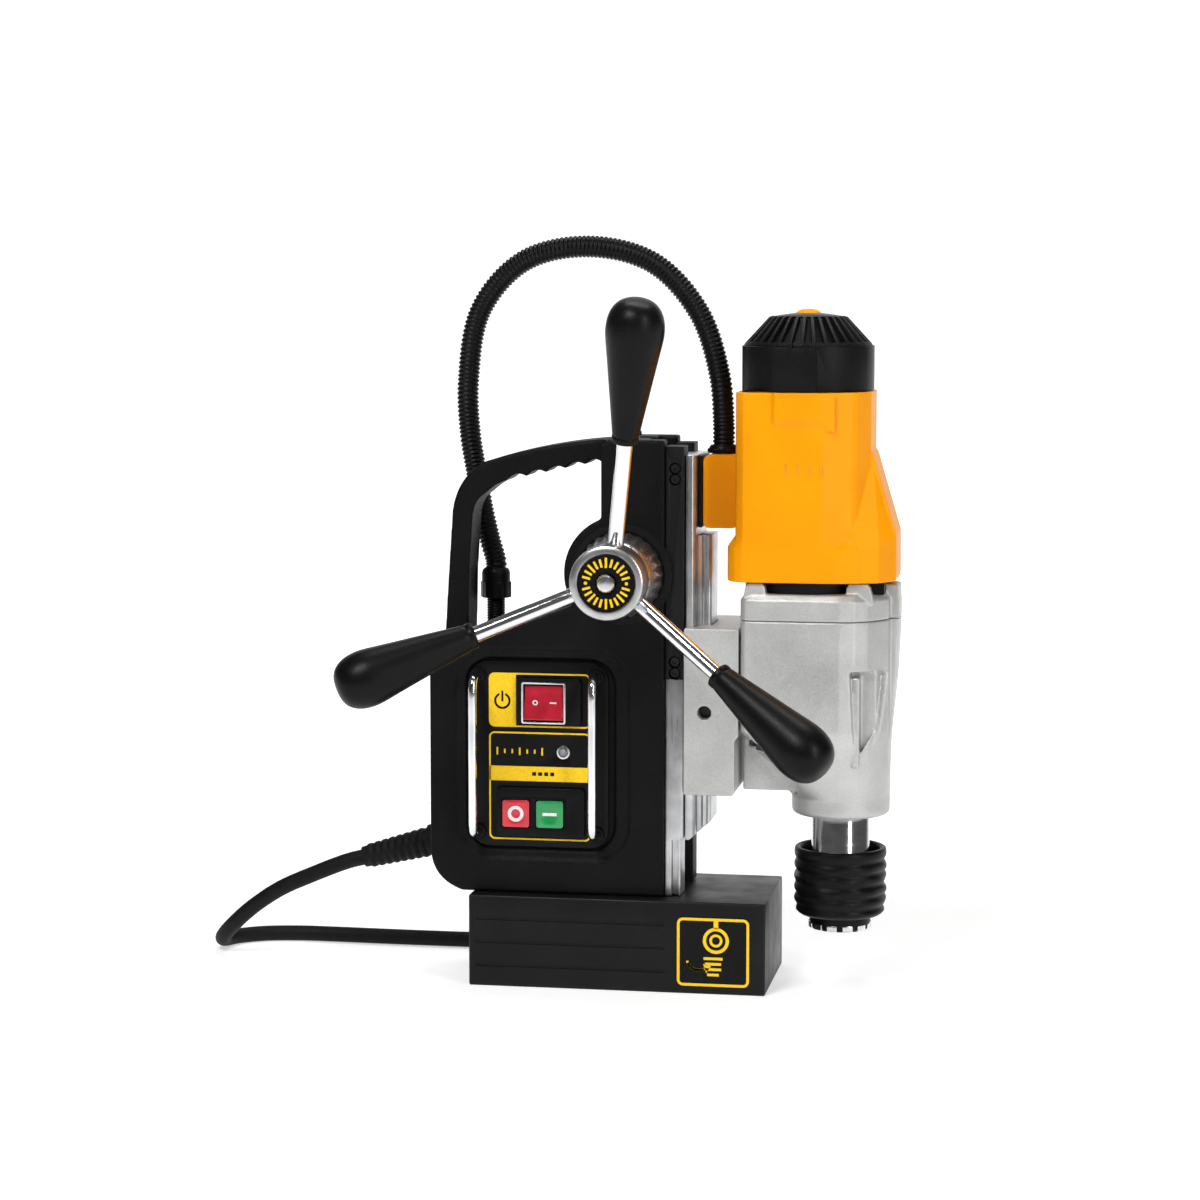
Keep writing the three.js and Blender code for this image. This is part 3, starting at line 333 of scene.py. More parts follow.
# ---------------------------------------------------------------- materials
class Look:
    """A material and short ways to put nodes on it. Lengths are in metres, as object coordinates are."""

    def __init__(self, name, color, roughness=0.5, metallic=0.0):
        self.material = bpy.data.materials.new(name)
        self.material.use_nodes = True
        self.nodes, self.links = self.material.node_tree.nodes, self.material.node_tree.links
        self.shader = self.nodes["Principled BSDF"]
        self.place = self.node("ShaderNodeTexCoord").outputs["Object"]
        self.set(**{"Base Color": (*color, 1), "Roughness": roughness, "Metallic": metallic})

    def set(self, **values):
        for socket, value in values.items():
            self.shader.inputs[socket].default_value = value

    def node(self, kind, **values):
        made = self.nodes.new(kind)
        for key, value in values.items():
            if hasattr(made, key):
                setattr(made, key, value)
            else:
                made.inputs[key].default_value = value
        return made

    def link(self, output, socket):
        self.links.new(output, socket)
        return output

    def noise(self, size, detail=3, stretch=(1, 1, 1)):
        """Noise with features of about size metres; stretch makes them longer along an axis."""
        mapping = self.node("ShaderNodeMapping")
        mapping.inputs["Scale"].default_value = tuple(1 / s for s in stretch)
        self.link(self.place, mapping.inputs["Vector"])
        noise = self.node("ShaderNodeTexNoise", Scale=1 / size, Detail=detail)
        self.link(mapping.outputs["Vector"], noise.inputs["Vector"])
        return noise.outputs["Fac"]

    def cells(self, size, feature="F1"):
        cells = self.node("ShaderNodeTexVoronoi", Scale=1 / size, feature=feature)
        self.link(self.place, cells.inputs["Vector"])
        return cells.outputs["Distance"]

    def spread(self, value, low, high, from_low=0.3, from_high=0.7):
        ranged = self.node("ShaderNodeMapRange")
        ranged.inputs["From Min"].default_value, ranged.inputs["From Max"].default_value = from_low, from_high
        ranged.inputs["To Min"].default_value, ranged.inputs["To Max"].default_value = low, high
        self.link(value, ranged.inputs["Value"])
        return ranged.outputs["Result"]

    def shades(self, value, low, high):
        """A colour that runs between two as value goes from low to high."""
        ramp = self.node("ShaderNodeValToRGB")
        ramp.color_ramp.elements[0].position, ramp.color_ramp.elements[1].position = 0.3, 0.7
        ramp.color_ramp.elements[0].color, ramp.color_ramp.elements[1].color = (*low, 1), (*high, 1)
        self.link(value, ramp.inputs["Fac"])
        return ramp.outputs["Color"]

    def blended(self, first, second, share):
        mix = self.node("ShaderNodeMix", data_type="RGBA")
        self.link(share, mix.inputs[0])
        self.link(first, mix.inputs[6])
        self.link(second, mix.inputs[7])
        return mix.outputs[2]

    def paint(self, color):
        self.link(color, self.shader.inputs["Base Color"])
        return self

    def rough(self, value, low, high):
        self.link(self.spread(value, low, high), self.shader.inputs["Roughness"])
        return self

    def bumps(self, *layers):
        """Layers of (height output, depth in metres), one on another."""
        normal = None
        for height, depth in layers:
            bump = self.node("ShaderNodeBump", Strength=1.0, Distance=depth)
            self.link(height, bump.inputs["Height"])
            if normal:
                self.link(normal, bump.inputs["Normal"])
            normal = bump.outputs["Normal"]
        self.link(normal, self.shader.inputs["Normal"])
        return self

    def painted_edge_highlight(self, base, highlight_color, amount=0.5):
        """Paints convex edges in a second, lighter colour: a painted highlight along the edges."""
        edge = self.node("ShaderNodeNewGeometry").outputs["Pointiness"]
        share = self.spread(edge, 0, amount, 0.53, 0.62)
        tint = self.node("ShaderNodeRGB")
        tint.outputs[0].default_value = (*highlight_color, 1)
        return self.blended(base, tint.outputs[0], share)


def tinted(color, factor):
    return tuple(min(1.0, c * factor) for c in color)


def powder_black():
    """Black textured powder coat: fine wrinkles, a soft sheen and a painted highlight along its edges."""
    look = Look("powder_black", (0.005, 0.005, 0.0055), 0.5, 0.0)
    look.set(**{"Specular IOR Level": 0.13})
    grain, cloud = look.noise(0.0011, 4), look.noise(0.03, 2)
    base = look.shades(cloud, (0.0026, 0.0026, 0.0028), (0.0045, 0.0045, 0.005))
    # convex edges painted a lighter grey: a painted highlight
    look.paint(look.painted_edge_highlight(base, (0.02, 0.02, 0.021), 0.5))
    look.rough(grain, 0.42, 0.62).bumps((grain, 0.00022), (look.cells(0.0009), 0.00008))
    return look.material


def magnet_black():
    """Satin black paint on a machined block, with faint milling lines along it."""
    look = Look("magnet_black", (0.006, 0.006, 0.0065), 0.42)
    look.set(**{"Specular IOR Level": 0.2})
    lines = look.noise(0.0016, 3, (60, 1, 1))
    base = look.shades(look.noise(0.05, 3), (0.003, 0.003, 0.0034), (0.006, 0.006, 0.0066))
    # convex edges painted a lighter grey: a painted highlight
    look.paint(look.painted_edge_highlight(base, (0.05, 0.05, 0.053), 0.5))
    look.rough(look.noise(0.02, 4), 0.34, 0.5).bumps((lines, 0.00005), (look.noise(0.0008, 2), 0.00005))
    return look.material


def moulded_black(name="moulded_black", color=(0.005, 0.005, 0.0055), low=0.34, high=0.46, grain=0.0006):
    """Moulded black plastic with a fine spark-eroded grain."""
    look = Look(name, tinted(color, 0.7), 0.4)
    look.set(**{"Specular IOR Level": 0.14})
    fine = look.noise(grain, 3)
    look.paint(look.shades(look.noise(0.02, 2), tinted(color, 0.55), tinted(color, 0.95)))
    look.rough(fine, low, high).bumps((fine, 0.00006))
    return look.material


def motor_yellow():
    """Yellow glass-filled nylon: matt grain, a slight mottle and a paler painted highlight along its edges.
    """
    look = Look("motor_yellow", (1.0, 0.35, 0.0), 0.38)
    look.set(**{"Specular IOR Level": 0.13})
    base = look.shades(look.noise(0.035, 3), (0.92, 0.315, 0.0), (0.98, 0.36, 0.0))
    # convex edges painted paler yellow: a painted highlight
    look.paint(look.painted_edge_highlight(base, (1.0, 0.5, 0.02), 0.35))
    fine = look.noise(0.0007, 3)
    look.rough(fine, 0.32, 0.46).bumps((fine, 0.00007), (look.noise(0.012, 2), 0.00006))
    return look.material


def cast_silver():
    """Silver lacquer over sand-cast aluminium: a pebbly grain, soft grey clouds and a painted highlight that
    makes its edges brighter.
    """
    look = Look("cast_silver", (0.6, 0.6, 0.585), 0.45, 0.55)
    cloud, grain = look.noise(0.022, 4), look.noise(0.00075, 4)
    clouds = look.shades(cloud, (0.47, 0.47, 0.46), (0.61, 0.61, 0.6))
    speckle = look.shades(grain, (0.38, 0.38, 0.37), (0.68, 0.68, 0.665))
    half = look.node("ShaderNodeValue")
    half.outputs[0].default_value = 0.35
    base = look.blended(clouds, speckle, half.outputs[0])
    # convex edges painted near white: a painted highlight
    look.paint(look.painted_edge_highlight(base, (0.85, 0.85, 0.84), 0.5))
    look.rough(grain, 0.36, 0.56).bumps((grain, 0.00016), (look.noise(0.004, 3), 0.00025))
    return look.material


def machined(name, color=(0.62, 0.62, 0.63), roughness=(0.18, 0.32), stretch=(1, 1, 40), size=0.0006):
    """Machined metal with fine tool lines along one axis."""
    look = Look(name, color, 0.25, 1.0)
    lines = look.noise(size, 4, stretch)
    look.paint(look.shades(look.noise(0.01, 3), tinted(color, 0.82), tinted(color, 1.15)))
    look.rough(lines, *roughness).bumps((lines, 0.00003))
    return look.material


def chrome():
    """Bright chrome plate with faint wiping marks."""
    look = Look("chrome", (0.82, 0.83, 0.85), 0.08, 1.0)
    look.paint(look.shades(look.noise(0.03, 2), (0.76, 0.77, 0.79), (0.88, 0.88, 0.9)))
    look.rough(look.noise(0.004, 5, (1, 1, 12)), 0.04, 0.14).bumps((look.noise(0.01, 2), 0.00004))
    return look.material


def rubber(name="rubber", color=(0.005, 0.005, 0.0052), low=0.5, high=0.68):
    """Dull black rubber with a fine bloom."""
    look = Look(name, color, 0.6)
    look.set(**{"Specular IOR Level": 0.16})
    look.paint(look.shades(look.noise(0.008, 4), tinted(color, 0.6), tinted(color, 1.1)))
    fine = look.noise(0.0009, 3)
    look.rough(fine, low, high).bumps((fine, 0.00009))
    return look.material


def gloss(name, color, roughness=(0.14, 0.26)):
    """Glossy moulded plastic."""
    look = Look(name, color, 0.2)
    look.set(**{"Coat Weight": 0.4, "Coat Roughness": 0.08})
    look.paint(look.shades(look.noise(0.006, 2), tinted(color, 0.85), tinted(color, 1.12)))
    look.rough(look.noise(0.0015, 3), *roughness).bumps((look.noise(0.003, 2), 0.00003))
    return look.material


def print_ink(name, color):
    """Printed ink on a label: flat, with a slightly uneven edge of tone."""
    look = Look(name, color, 0.45)
    look.set(**{"Specular IOR Level": 0.12})
    look.paint(look.shades(look.noise(0.0012, 4), tinted(color, 0.88), tinted(color, 1.08)))
    look.rough(look.noise(0.0008, 2), 0.38, 0.55)
    return look.material


def board():
    look = Look("board", (0.012, 0.11, 0.035), 0.35)
    look.paint(look.shades(look.cells(0.004), (0.02, 0.16, 0.05), (0.008, 0.07, 0.022)))
    look.rough(look.noise(0.002), 0.25, 0.45).bumps((look.cells(0.004), 0.0001))
    return look.material


def lamp_glass():
    look = Look("lamp_glass", (0.62, 0.66, 0.7), 0.12)
    look.set(**{"Transmission Weight": 0.6, "IOR": 1.49})
    look.rough(look.noise(0.002), 0.08, 0.2).bumps((look.cells(0.0016), 0.0001))
    return look.material


# ---------------------------------------------------------------- cords
def mains_path():
    """The mains lead: from its boot to the floor, round behind the base, and into a coil of seven turns."""
    boot, low = 46.4, FLOOR_LAY
    x0, z0 = CORD_EXIT_X - boot * math.cos(CORD_SLOPE), CORD_EXIT_Z - boot * math.sin(CORD_SLOPE)
    route = [(x0, 0, z0), (x0 - 9.7, 0, z0 - 2.7), (-181, 0, 51.5), (-201.5, 0.4, 42), (-219, 3, 30),
             (-233, 9, 17.5), (-241, 18, 9), (-243, 29, 5.2), (-238, 40, low), (-225, 49, low),
             (-205, 53.6, low), (-180, 54, low), (-150, 53.2, low), (-120, 53, low), (-84, 53, low),
             (-66, 53, low)]
    # angle turned, distance from the coil's centre, height: three turns inwards, three outwards, one on top
    stages = [(0, 54, low), (300, 54, low), (340, 45, low), (660, 45, low), (700, 36, low),
              (1020, 36, low), (1040, 33, 9.1), (1060, 36, 13.6), (1380, 36, 13.6), (1420, 45, 13.6),
              (1740, 45, 13.6), (1780, 54, 13.6), (2060, 54, 13.6), (2100, 54, 22.6), (2140, 46.4, 22.6),
              (2525, 46.4, 22.6)]
    wound = []
    for (a0, r0, h0), (a1, r1, h1) in zip(stages, stages[1:]):
        count = math.ceil((a1 - a0) / 4)
        for i in range(count):
            s = i / count
            ease = s * s * (3 - 2 * s)
            a, r, h = math.radians(a0 + (a1 - a0) * s - 90), r0 + (r1 - r0) * ease, h0 + (h1 - h0) * ease
            wound.append((COIL[0] + r * math.cos(a), COIL[1] + r * math.sin(a), h))
    x, y, leave = -47.96, 60.78, math.radians(PLUG_TURN)
    tail = [(x + s * math.cos(leave), y + s * math.sin(leave), 22.6) for s in (0, 12, 24, 36, 44, 48)]
    return smooth_path(route, 3) + wound + tail


def mains_lead(materials):
    path = mains_path()
    lead = shade(tube("mains_lead", path, CORD_RADIUS, 20), 60)
    show(lead, "base", materials.rubber, ("mains_cord", "mains_coil"))
    plug = mains_plug(materials)


def ribbed(s, pitch, depth, start, end):
    """How much a boot's ribs stand out at s along it."""
    if not start <= s <= end:
        return 0
    return depth * (0.5 - 0.5 * math.cos(2 * math.pi * (s - start) / pitch)) ** 0.5


def mains_plug(materials):
    """A moulded plug with two flat pins and an earth pin, lying beside the coil."""
    body = prism("plug_body", rounded(-14, 14, 0.2, 26, 8), 0, 36, "X")
    grips = [block("grip", 9 + 4 * i, 11 + 4 * i, side * 14 - 1, side * 14 + 1, 3, 23)
             for i in range(5) for side in (-1, 1)]
    body = soften(cut(body, *grips), 0.55, 4)
    path = [(1 - s, 0, 14 + 8.4 * (s / 19)) for s in [i * 0.4 for i in range(48)]]
    boot = tube("plug_boot", path, lambda i: 8.4 - 3 * i / 47 + ribbed(i * 0.4, 3.2, 0.7, 2, 17), 28)
    face = prism("face", rounded(-11, 11, 3, 23, 5), 35, 37.2, "X")
    body = merged("mains_plug_body", [body, ease_edges(face, 0.5), boot])
    pins = [block("pin", 35, 53, y - 0.8, y + 0.8, 11, 17) for y in (-6.4, 6.4)]
    pins.append(lathe("earth", [(0, 35), (2.4, 35), (2.4, 52), (1.2, 54), (0, 54)], (0, 0, 7), "X", 24))
    pins = ease_edges(merged("mains_plug_pins", pins), 0.3)
    for piece in (body, pins):
        moved(piece, PLUG, Matrix.Rotation(math.radians(PLUG_TURN), 3, "Z"))
    show(body, "base", materials.rubber, "mains_plug")
    show(pins, "base", materials.bright)
    return [body, pins]


def cord_boot(materials):
    """The lead's ribbed boot where it leaves the housing."""
    path, size = [], []
    for i in range(141):
        s = -3 + 0.35 * i
        path.append((CORD_EXIT_X - s * math.cos(CORD_SLOPE), 0, CORD_EXIT_Z - s * math.sin(CORD_SLOPE)))
        collar = 9.3 if 1.4 <= s <= 5.5 else 8.2 - 2.3 * max(s, 0) / 46
        size.append(collar + (ribbed(s, 4.4, 0.75, 8, 43.2) if s > 8 else 0) if s > 0 else 6.2)
    boot = shade(tube("cord_boot", path, lambda i: size[i], 32), 50)
    show(boot, "base", materials.rubber, "cord_relief")


def conduit(materials):
    """The corrugated conduit that carries the head's wires over the column."""
    route = [(*LOWER_GLAND, 226), (*LOWER_GLAND, 230), (-82.8, 24.2, 241), (-86.6, 24, 257),
             (-90.6, 23.6, 280), (-94, 23, 302), (-94.8, 22, 332), (-87, 20.5, 372), (-62, 18.5, 399),
             (-25, 15.5, 407), (12, 11.5, 398), (38, 8, 371), (50, 5.4, 337), (*UPPER_GLAND, 308),
             (*UPPER_GLAND, 298)]
    step, pitch = 0.4, 2.4
    path = smooth_path(route, step)

    def radius(i):
        wave = math.cos(2 * math.pi * i * step / pitch)
        return 5.8 + 0.36 * max(-1, min(1, 1.5 * wave))

    hose = shade(tube("conduit_hose", path, radius, 28), 75)
    hose.data.materials.append(materials.hose)
    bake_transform(hose)
    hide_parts("conduit")


def gland(name, place, z, height, nut, materials, body, node, stem=None):
    """A cable gland: a threaded stem, a hexagonal nut and a domed collar, open for the hose."""
    parts = []
    if stem:
        thread = [(5.2 - 0.35 * (i % 2), stem + 0.75 * i) for i in range(int((z - stem) / 0.75) + 2)]
        parts.append(lathe("stem", [(0, stem), *thread, (0, thread[-1][1])], steps=40))
    hexed = prism("nut", polygon(0, 0, nut, 6), z, z + height * 0.55, "Z")
    parts.append(ease_edges(hexed, 0.5))
    top = z + height
    parts.append(lathe("collar", [(6.3, z), (nut * 0.9, z), (nut * 0.9, top - 2.4),
                                  (nut * 0.84, top - 0.8), (nut * 0.76, top), (6.5, top),
                                  (6.3, top - 0.6), (6.3, z)], steps=56))
    piece = merged(name, parts)
    show(moved(piece, (*place, 0)), body, materials.plastic, node)


# ---------------------------------------------------------------- base and frame
def magnet_base(materials):
    half, side = MAGNET.dx / 2, MAGNET.dy / 2
    body = block("magnet_block", -half, half, -side, side, 0, MAGNET.z1)
    body = ease_edges(body, 1.1, 4)
    tools = [block("groove", -half + 4, 27, s * side - 0.7, s * side + 0.7, z - 0.9, z + 0.9)
             for s in (-1, 1) for z in (12, 25, 38)]
    tools.append(block("pocket", -half + 12, half - 12, -side + 12, side - 12, -1, 33))
    tools += [rod("bolt_hole", 5.3, 37, 52, (x, 0, 0), steps=32) for x in BASE_BOLTS_X]
    body = cut(body, *tools)
    pole = ease_edges(block("pole", -46, 46, -13, 13, 0, 33.5), 0.6)
    body = merged("magnet_block", [body, pole])
    show(body, "base", materials.magnet, "magnet_base")


def ring_outline(x0, x1, z0, z1, r, width, y, name):
    """A rounded rectangular outline printed on a face that looks along -Y."""
    hole = rounded(x0 + width, x1 - width, z0 + width, z1 - width, r - width)
    return cut(prism(name, rounded(x0, x1, z0, z1, r), y - 0.25, y + 0.1),
               prism("inner", hole, y - 1, y + 1))


def annulus(name, x, z, outer, inner, y0, y1, steps=48):
    return lathe(name, [(inner, y0), (outer, y0), (outer, y1), (inner, y1), (inner, y0)], (x, 0, z), "Y",
                 steps)


def stroke(name, points, width, y0, y1):
    """A printed line of even width through points in X,Z."""
    parts = []
    for (ax, az), (bx, bz) in zip(points, points[1:]):
        length = math.hypot(bx - ax, bz - az)
        ux, uz = (bx - ax) / length * width / 2, (bz - az) / length * width / 2
        parts.append(prism("dash", [(ax - ux + uz, az - uz - ux), (bx + ux + uz, bz + uz - ux),
                                    (bx + ux - uz, bz + uz + ux), (ax - ux - uz, az - uz + ux)], y0, y1))
    return merged(name, parts)


def base_label(materials):
    """The base's label: a yellow frame round a generic chuck symbol and a turning arrow."""
    y = MAGNET.y0
    plate = prism("base_label_plate", rounded(33.2, 74.6, 3.7, 43.2, 4), y - 0.2, y + 0.2)
    show(shade(plate), "base", materials.label)
    front, back = y - 0.32, y - 0.1
    parts = [ring_outline(34, 73.8, 4.5, 42.4, 3.4, 1.5, y - 0.1, "frame_line")]
    parts.append(annulus("collar", 55.5, 30, 7.2, 5.4, front, back))
    parts.append(annulus("bore", 55.5, 30, 3.6, 2.2, front, back))
    parts.append(stroke("lugs", [(55.5, 38), (55.5, 40)], 2.6, front, back))
    for i, width in enumerate((9, 7.4, 7.4, 5)):
        z = 20 - 3 * i
        parts.append(stroke("teeth", [(54 - width / 2, z), (54 + width / 2, z)], 1.5, front, back))
    sweep = arc(46, 20, 6.5, 200, 300, 12)
    parts.append(stroke("arrow", sweep, 1.3, front, back))
    tip = sweep[-1]
    parts.append(prism("arrow_tip", [(tip[0] + 3.6, tip[1] + 1.6), (tip[0] - 0.8, tip[1] + 2.6),
                                     (tip[0] + 1, tip[1] - 2.4)], front, back))
    show(merged("base_label_print", parts), "base", materials.gold)


def housing_outline(inset=0.0):
    rear, floor = FRAME.x0 + inset, FRAME.z0 + inset
    start = (FRAME.x0 + 18, floor)
    heel = curve_between(start, (rear + inset, floor + 6), (rear, floor + 24), 14)
    shoulder = curve_between((rear, 183.5 - inset), (rear, 187.5 - inset), (rear + 6, 187.5 - inset), 6)
    return [start, *heel, (rear, 183.5 - inset), *shoulder, (-86, 187.5 - inset), (-25.5, 212 - inset)]


def frame_casting(materials):
    near, far, floor, top, front = FRAME.y0, FRAME.y1, FRAME.z0, FRAME.z1, FRAME.x1
    body = prism("frame_casting_skin", housing_outline() + [(-8, 212), (-8, floor)], near, far)
    post = prism("post", [(-10, floor), (front, floor), (front, top), (-6, top), (-10, top - 3)], near,
                 far)
    boss = rod("boss", 32, near, far, SHAFT, "Y")
    boss = cut(boss, block("past", front, 60, -60, 60, 180, 280))
    body = join(body, post, boss)
    cavity = housing_outline(4.5) + [(-34, 196), (-14, 188), (-14, floor + 6), (-80, floor + 6)]
    tools = [
        prism("room", cavity, near + 8, far + 1),
        prism("seat", rounded(-100, -12, 62, 184, 8), far - 3, far + 1),
        prism("step_a", rounded(-91, 6, 70, 187, 20, 16), near - 1, near + 1.6),
        prism("step_b", rounded(-86, -2, 75, 182, 15, 16), near - 1, near + 4),
        block("window", -70, -16, near - 1, near + 9, 81, 173),
        block("channel", 14.6, front + 1, -18.8, 18.8, floor + 1.7, top + 1),
        block("rack_room", 6, 15.6, -8, 8, floor + 1.7, top + 1),
        rod("pinion_room", 15.3, -7.5, 7.5, SHAFT, "Y", 48),
        rod("bore", 11, near - 1, far + 1, SHAFT, "Y", 48),
        rod("cord_hole", 6.9, -107, -94, (0, 0, CORD_EXIT_Z), "X", 32),
    ]
    tools += [rod("bolt_hole", 5.4, floor - 1, floor + 7, (x, 0, 0)) for x in BASE_BOLTS_X]
    body = soften(cut(body, *tools), 0.85, 5, 0.4)
    show(body, "base", materials.powder, "frame_casting")


def boss_rim(materials):
    """The raised rim round the feed shaft."""
    near = FRAME.y0
    rim = lathe("feed_boss_rim", [(24, near - 0.4), (27.2, near - 0.4), (28, near + 0.4), (28, near + 2),
                                  (24, near + 2),
                                  (24, near - 0.4)], SHAFT, "Y")
    show(shade(rim), "base", materials.powder)


def carry_handle(materials):
    foot = HANDLE.z0
    outline = [(-101.5, foot), (-100, 214), *curve_between((-100, 214), (-98, 245), (-96.8, 262), 6),
               *curve_between((-96.8, 262), (-94, 280), (-79, 288.5), 12),
               *curve_between((-79, 288.5), (-45, 299.5), (-10.3, 302), 16), (-10.3, 286),
               *curve_between((-10.3, 286), (-13, 291.5), (-18.5, 290.5), 5)]
    start, end = (-22, 289), (-66, 280)
    for i in range(4):
        def at(t):
            return tuple(a + (b - a) * t for a, b in zip(start, end))
        ridge, hollow, after = at(i / 4), at((i + 0.5) / 4), at((i + 1) / 4)
        outline.append((ridge[0], ridge[1] - 1.6))
        outline += curve_between((ridge[0], ridge[1] - 1.6), (hollow[0], hollow[1] + 3.4),
                                 (after[0], after[1] - 1.6), 8)
    outline += [*curve_between(outline[-1], (-72, 277), (-78, 271), 6),
                *curve_between((-78, 271), (-84.5, 268), (-85.4, 258), 6), (-87.4, 228), (-88.3, foot)]
    body = soften(prism("carry_handle_skin", outline, HANDLE.y0 + 0.2, HANDLE.y1 - 0.2), 0.8, 16, 0.5)
    show(body, "base", materials.powder, "carry_handle")


def screw_head(name, x, y, z, r, height, axis="Y", sign=-1, socket=0.5):
    """A cap screw's head with a hexagonal socket. It stands out along its axis, towards sign."""
    dome = [(0, 0), (r, 0), (r, height * 0.75), (r * 0.9, height), (0, height)]
    start, across, centre = (y, z, (x, 0, z)) if axis == "Y" else (z, y, (x, y, 0))
    top = start + sign * height
    head = lathe(name, [(a, start + sign * h) for a, h in dome], centre, axis, 40)
    hole = prism("socket", polygon(x, across, r * socket, 6),
                 *sorted((top - sign * height * 0.7, top + sign)), axis)
    return shade(cut(head, hole))


def guides(materials):
    upper, lower, far = span("guide_upper_near"), span("guide_lower_near"), span("guide_far")
    strip = filled("guide_upper_near_skin", upper)
    holes = []
    for z in GUIDE_SCREWS_Z:
        for step in (-3, 3):
            holes.append(rod("recess", 3.3, -30, -24.4, (GUIDE_SCREWS_X, 0, z + step), "Y", 32))
    show(ease_edges(cut(strip, *holes), 0.35), "base", materials.powder, "guide_upper_near")
    heads = [screw_head("head", GUIDE_SCREWS_X, -24.4, z + s, 2.7, 1.6) for z in GUIDE_SCREWS_Z
             for s in (-3, 3)]
    show(merged("guide_screws", heads), "base", materials.dark_steel)
    strip = block("guide_lower_near_skin", lower.x0, lower.x1, lower.y0, lower.y1, 83, lower.z1)
    foot = block("foot", lower.x0, lower.x1 - 1.1, lower.y0, lower.y1, lower.z0, 83.5)
    strip = cut(join(strip, foot), block("slot", 29, 32.5, -29, -25, lower.z0 - 1, 82.5))
    show(ease_edges(strip, 0.35), "base", materials.silver, "guide_lower_near")
    show(ease_edges(filled("guide_far_skin", far), 0.5), "base", materials.powder, "guide_far")
    heads = [screw_head("head", GUIDE_SCREWS_X, far.y1, z, 3.4, 1.8, sign=1)
             for z in (70, 122, 174, 226, 282)]
    show(merged("guide_far_screws", heads), "base", materials.dark_steel)


def column_details(materials):
    """Screws on the column's top, and the far side's vented cover with its screws."""
    top = FRAME.z1
    heads = [screw_head("head", 0.5, y, top - 0.1, 3.6, 2.4, "Z", 1) for y in (-24, 22)]
    show(merged("column_top_screws", heads), "base", materials.dark_steel)
    cover = span("side_cover")
    plate = prism("side_cover_skin", rounded(cover.x0, cover.x1, cover.z0, cover.z1, 7.7), cover.y0,
                  cover.y1 + 0.5)
    vents = [prism("vent", rounded(-88, -52, 96 + 8 * i, 99 + 8 * i, 1.4, 5), 25, 33) for i in range(6)]
    panel = prism("field", rounded(cover.x0 + 6, cover.x1 - 6, cover.z0 + 6, cover.z1 - 6, 5),
                  cover.y1 - 0.4, 33)
    plate = ease_edges(cut(plate, panel, *vents), 0.35)
    show(plate, "base", materials.powder, "side_cover")
    heads = [screw_head("head", x, cover.y1 - 0.5, z, 2.8, 1.6, sign=1)
             for z in (cover.z0 + 7.5, cover.z1 - 7.5) for x in (cover.x0 + 7.5, cover.x1 - 7.5)]
    show(merged("side_cover_screws", heads), "base", materials.bright)


# ---------------------------------------------------------------- control panel
def control_panel(materials):
    y = PANEL.y0
    face = prism("control_panel_skin", rounded(PANEL.x0, PANEL.x1, PANEL.z0, PANEL.z1, 11, 14), y,
                 PANEL.y1)
    windows = [block("window", -55, -23, y - 1, y + 4, 147, 169),
               block("window", -66.5, -21, y - 1, y + 4, 84.6, 108),
               rod("lamp_hole", 2.8, y - 1, y + 4, LAMP, "Y", 32)]
    windows += [rod("bar_hole", 2.7, y - 1, y + 4, (x, 0, z), "Y", 24) for x in BARS_X
                for z in BAR_ENDS_Z]
    show(ease_edges(cut(face, *windows), 0.4), "base", materials.panel, "control_panel")
    gold = [
        cut(ring_outline(-72.8, -15.9, 143.5, 173.6, 3.2, 0.9, y, "top_line"),
            block("left", -74, -57.6, y - 2, y + 2, 140, 176)),
        prism("power_patch", [(-57.6, 143.5), (-57.6, 173.6), *arc(-69.6, 170.4, 3.2, 90, 180),
                              *arc(-69.6, 146.7, 3.2, 180, 270)],
              y - 0.25, y + 0.1),
        ring_outline(-72.8, -15.9, 80.6, 140.8, 3.2, 0.9, y, "low_line"),
        block("stripe", -72.6, -16.1, y - 0.25, y + 0.1, 113.5, 121.7),
    ]
    for i in range(7):
        height = 2.4 if i % 3 else 4.2
        gold.append(block("tick", -68.6 + 4.2 * i, -67.7 + 4.2 * i, y - 0.25, y + 0.1, 130 - height / 2,
                          130 + height / 2))
    show(merged("panel_print_gold", gold), "base", materials.gold)
    dark = [stroke("power_ring", arc(-65.2, 158, 4, 122, 418, 22), 1.1, y - 0.34, y - 0.1),
            block("power_bar", -65.75, -64.65, y - 0.34, y - 0.1, 157.6, 163.6)]
    dark += [block("dash", -48.6 + 3.4 * i, -46.4 + 3.4 * i, y - 0.34, y - 0.1, 116.6, 118.6)
             for i in range(4)]
    show(merged("panel_print_black", dark), "base", materials.ink)


def bezel(name, node, wells, materials):
    """A switch's frame: its rim on the panel and its body behind, with a well for each moving part."""
    box, y, edge = span(node), PANEL.y0, 2.4
    rim = prism(name, rounded(box.x0, box.x1, box.z0, box.z1, edge), box.y0, y - 0.3)
    body = block("body", box.x0 + edge, box.x1 - edge, y - 0.6, box.y1, box.z0 + edge, box.z1 - edge)
    tools = [block("well", x0, x1, y - 4, box.y1 - 2, z0, z1) for x0, x1, z0, z1 in wells]
    show(ease_edges(cut(join(rim, body), *tools), 0.45), "base", materials.plastic, node)


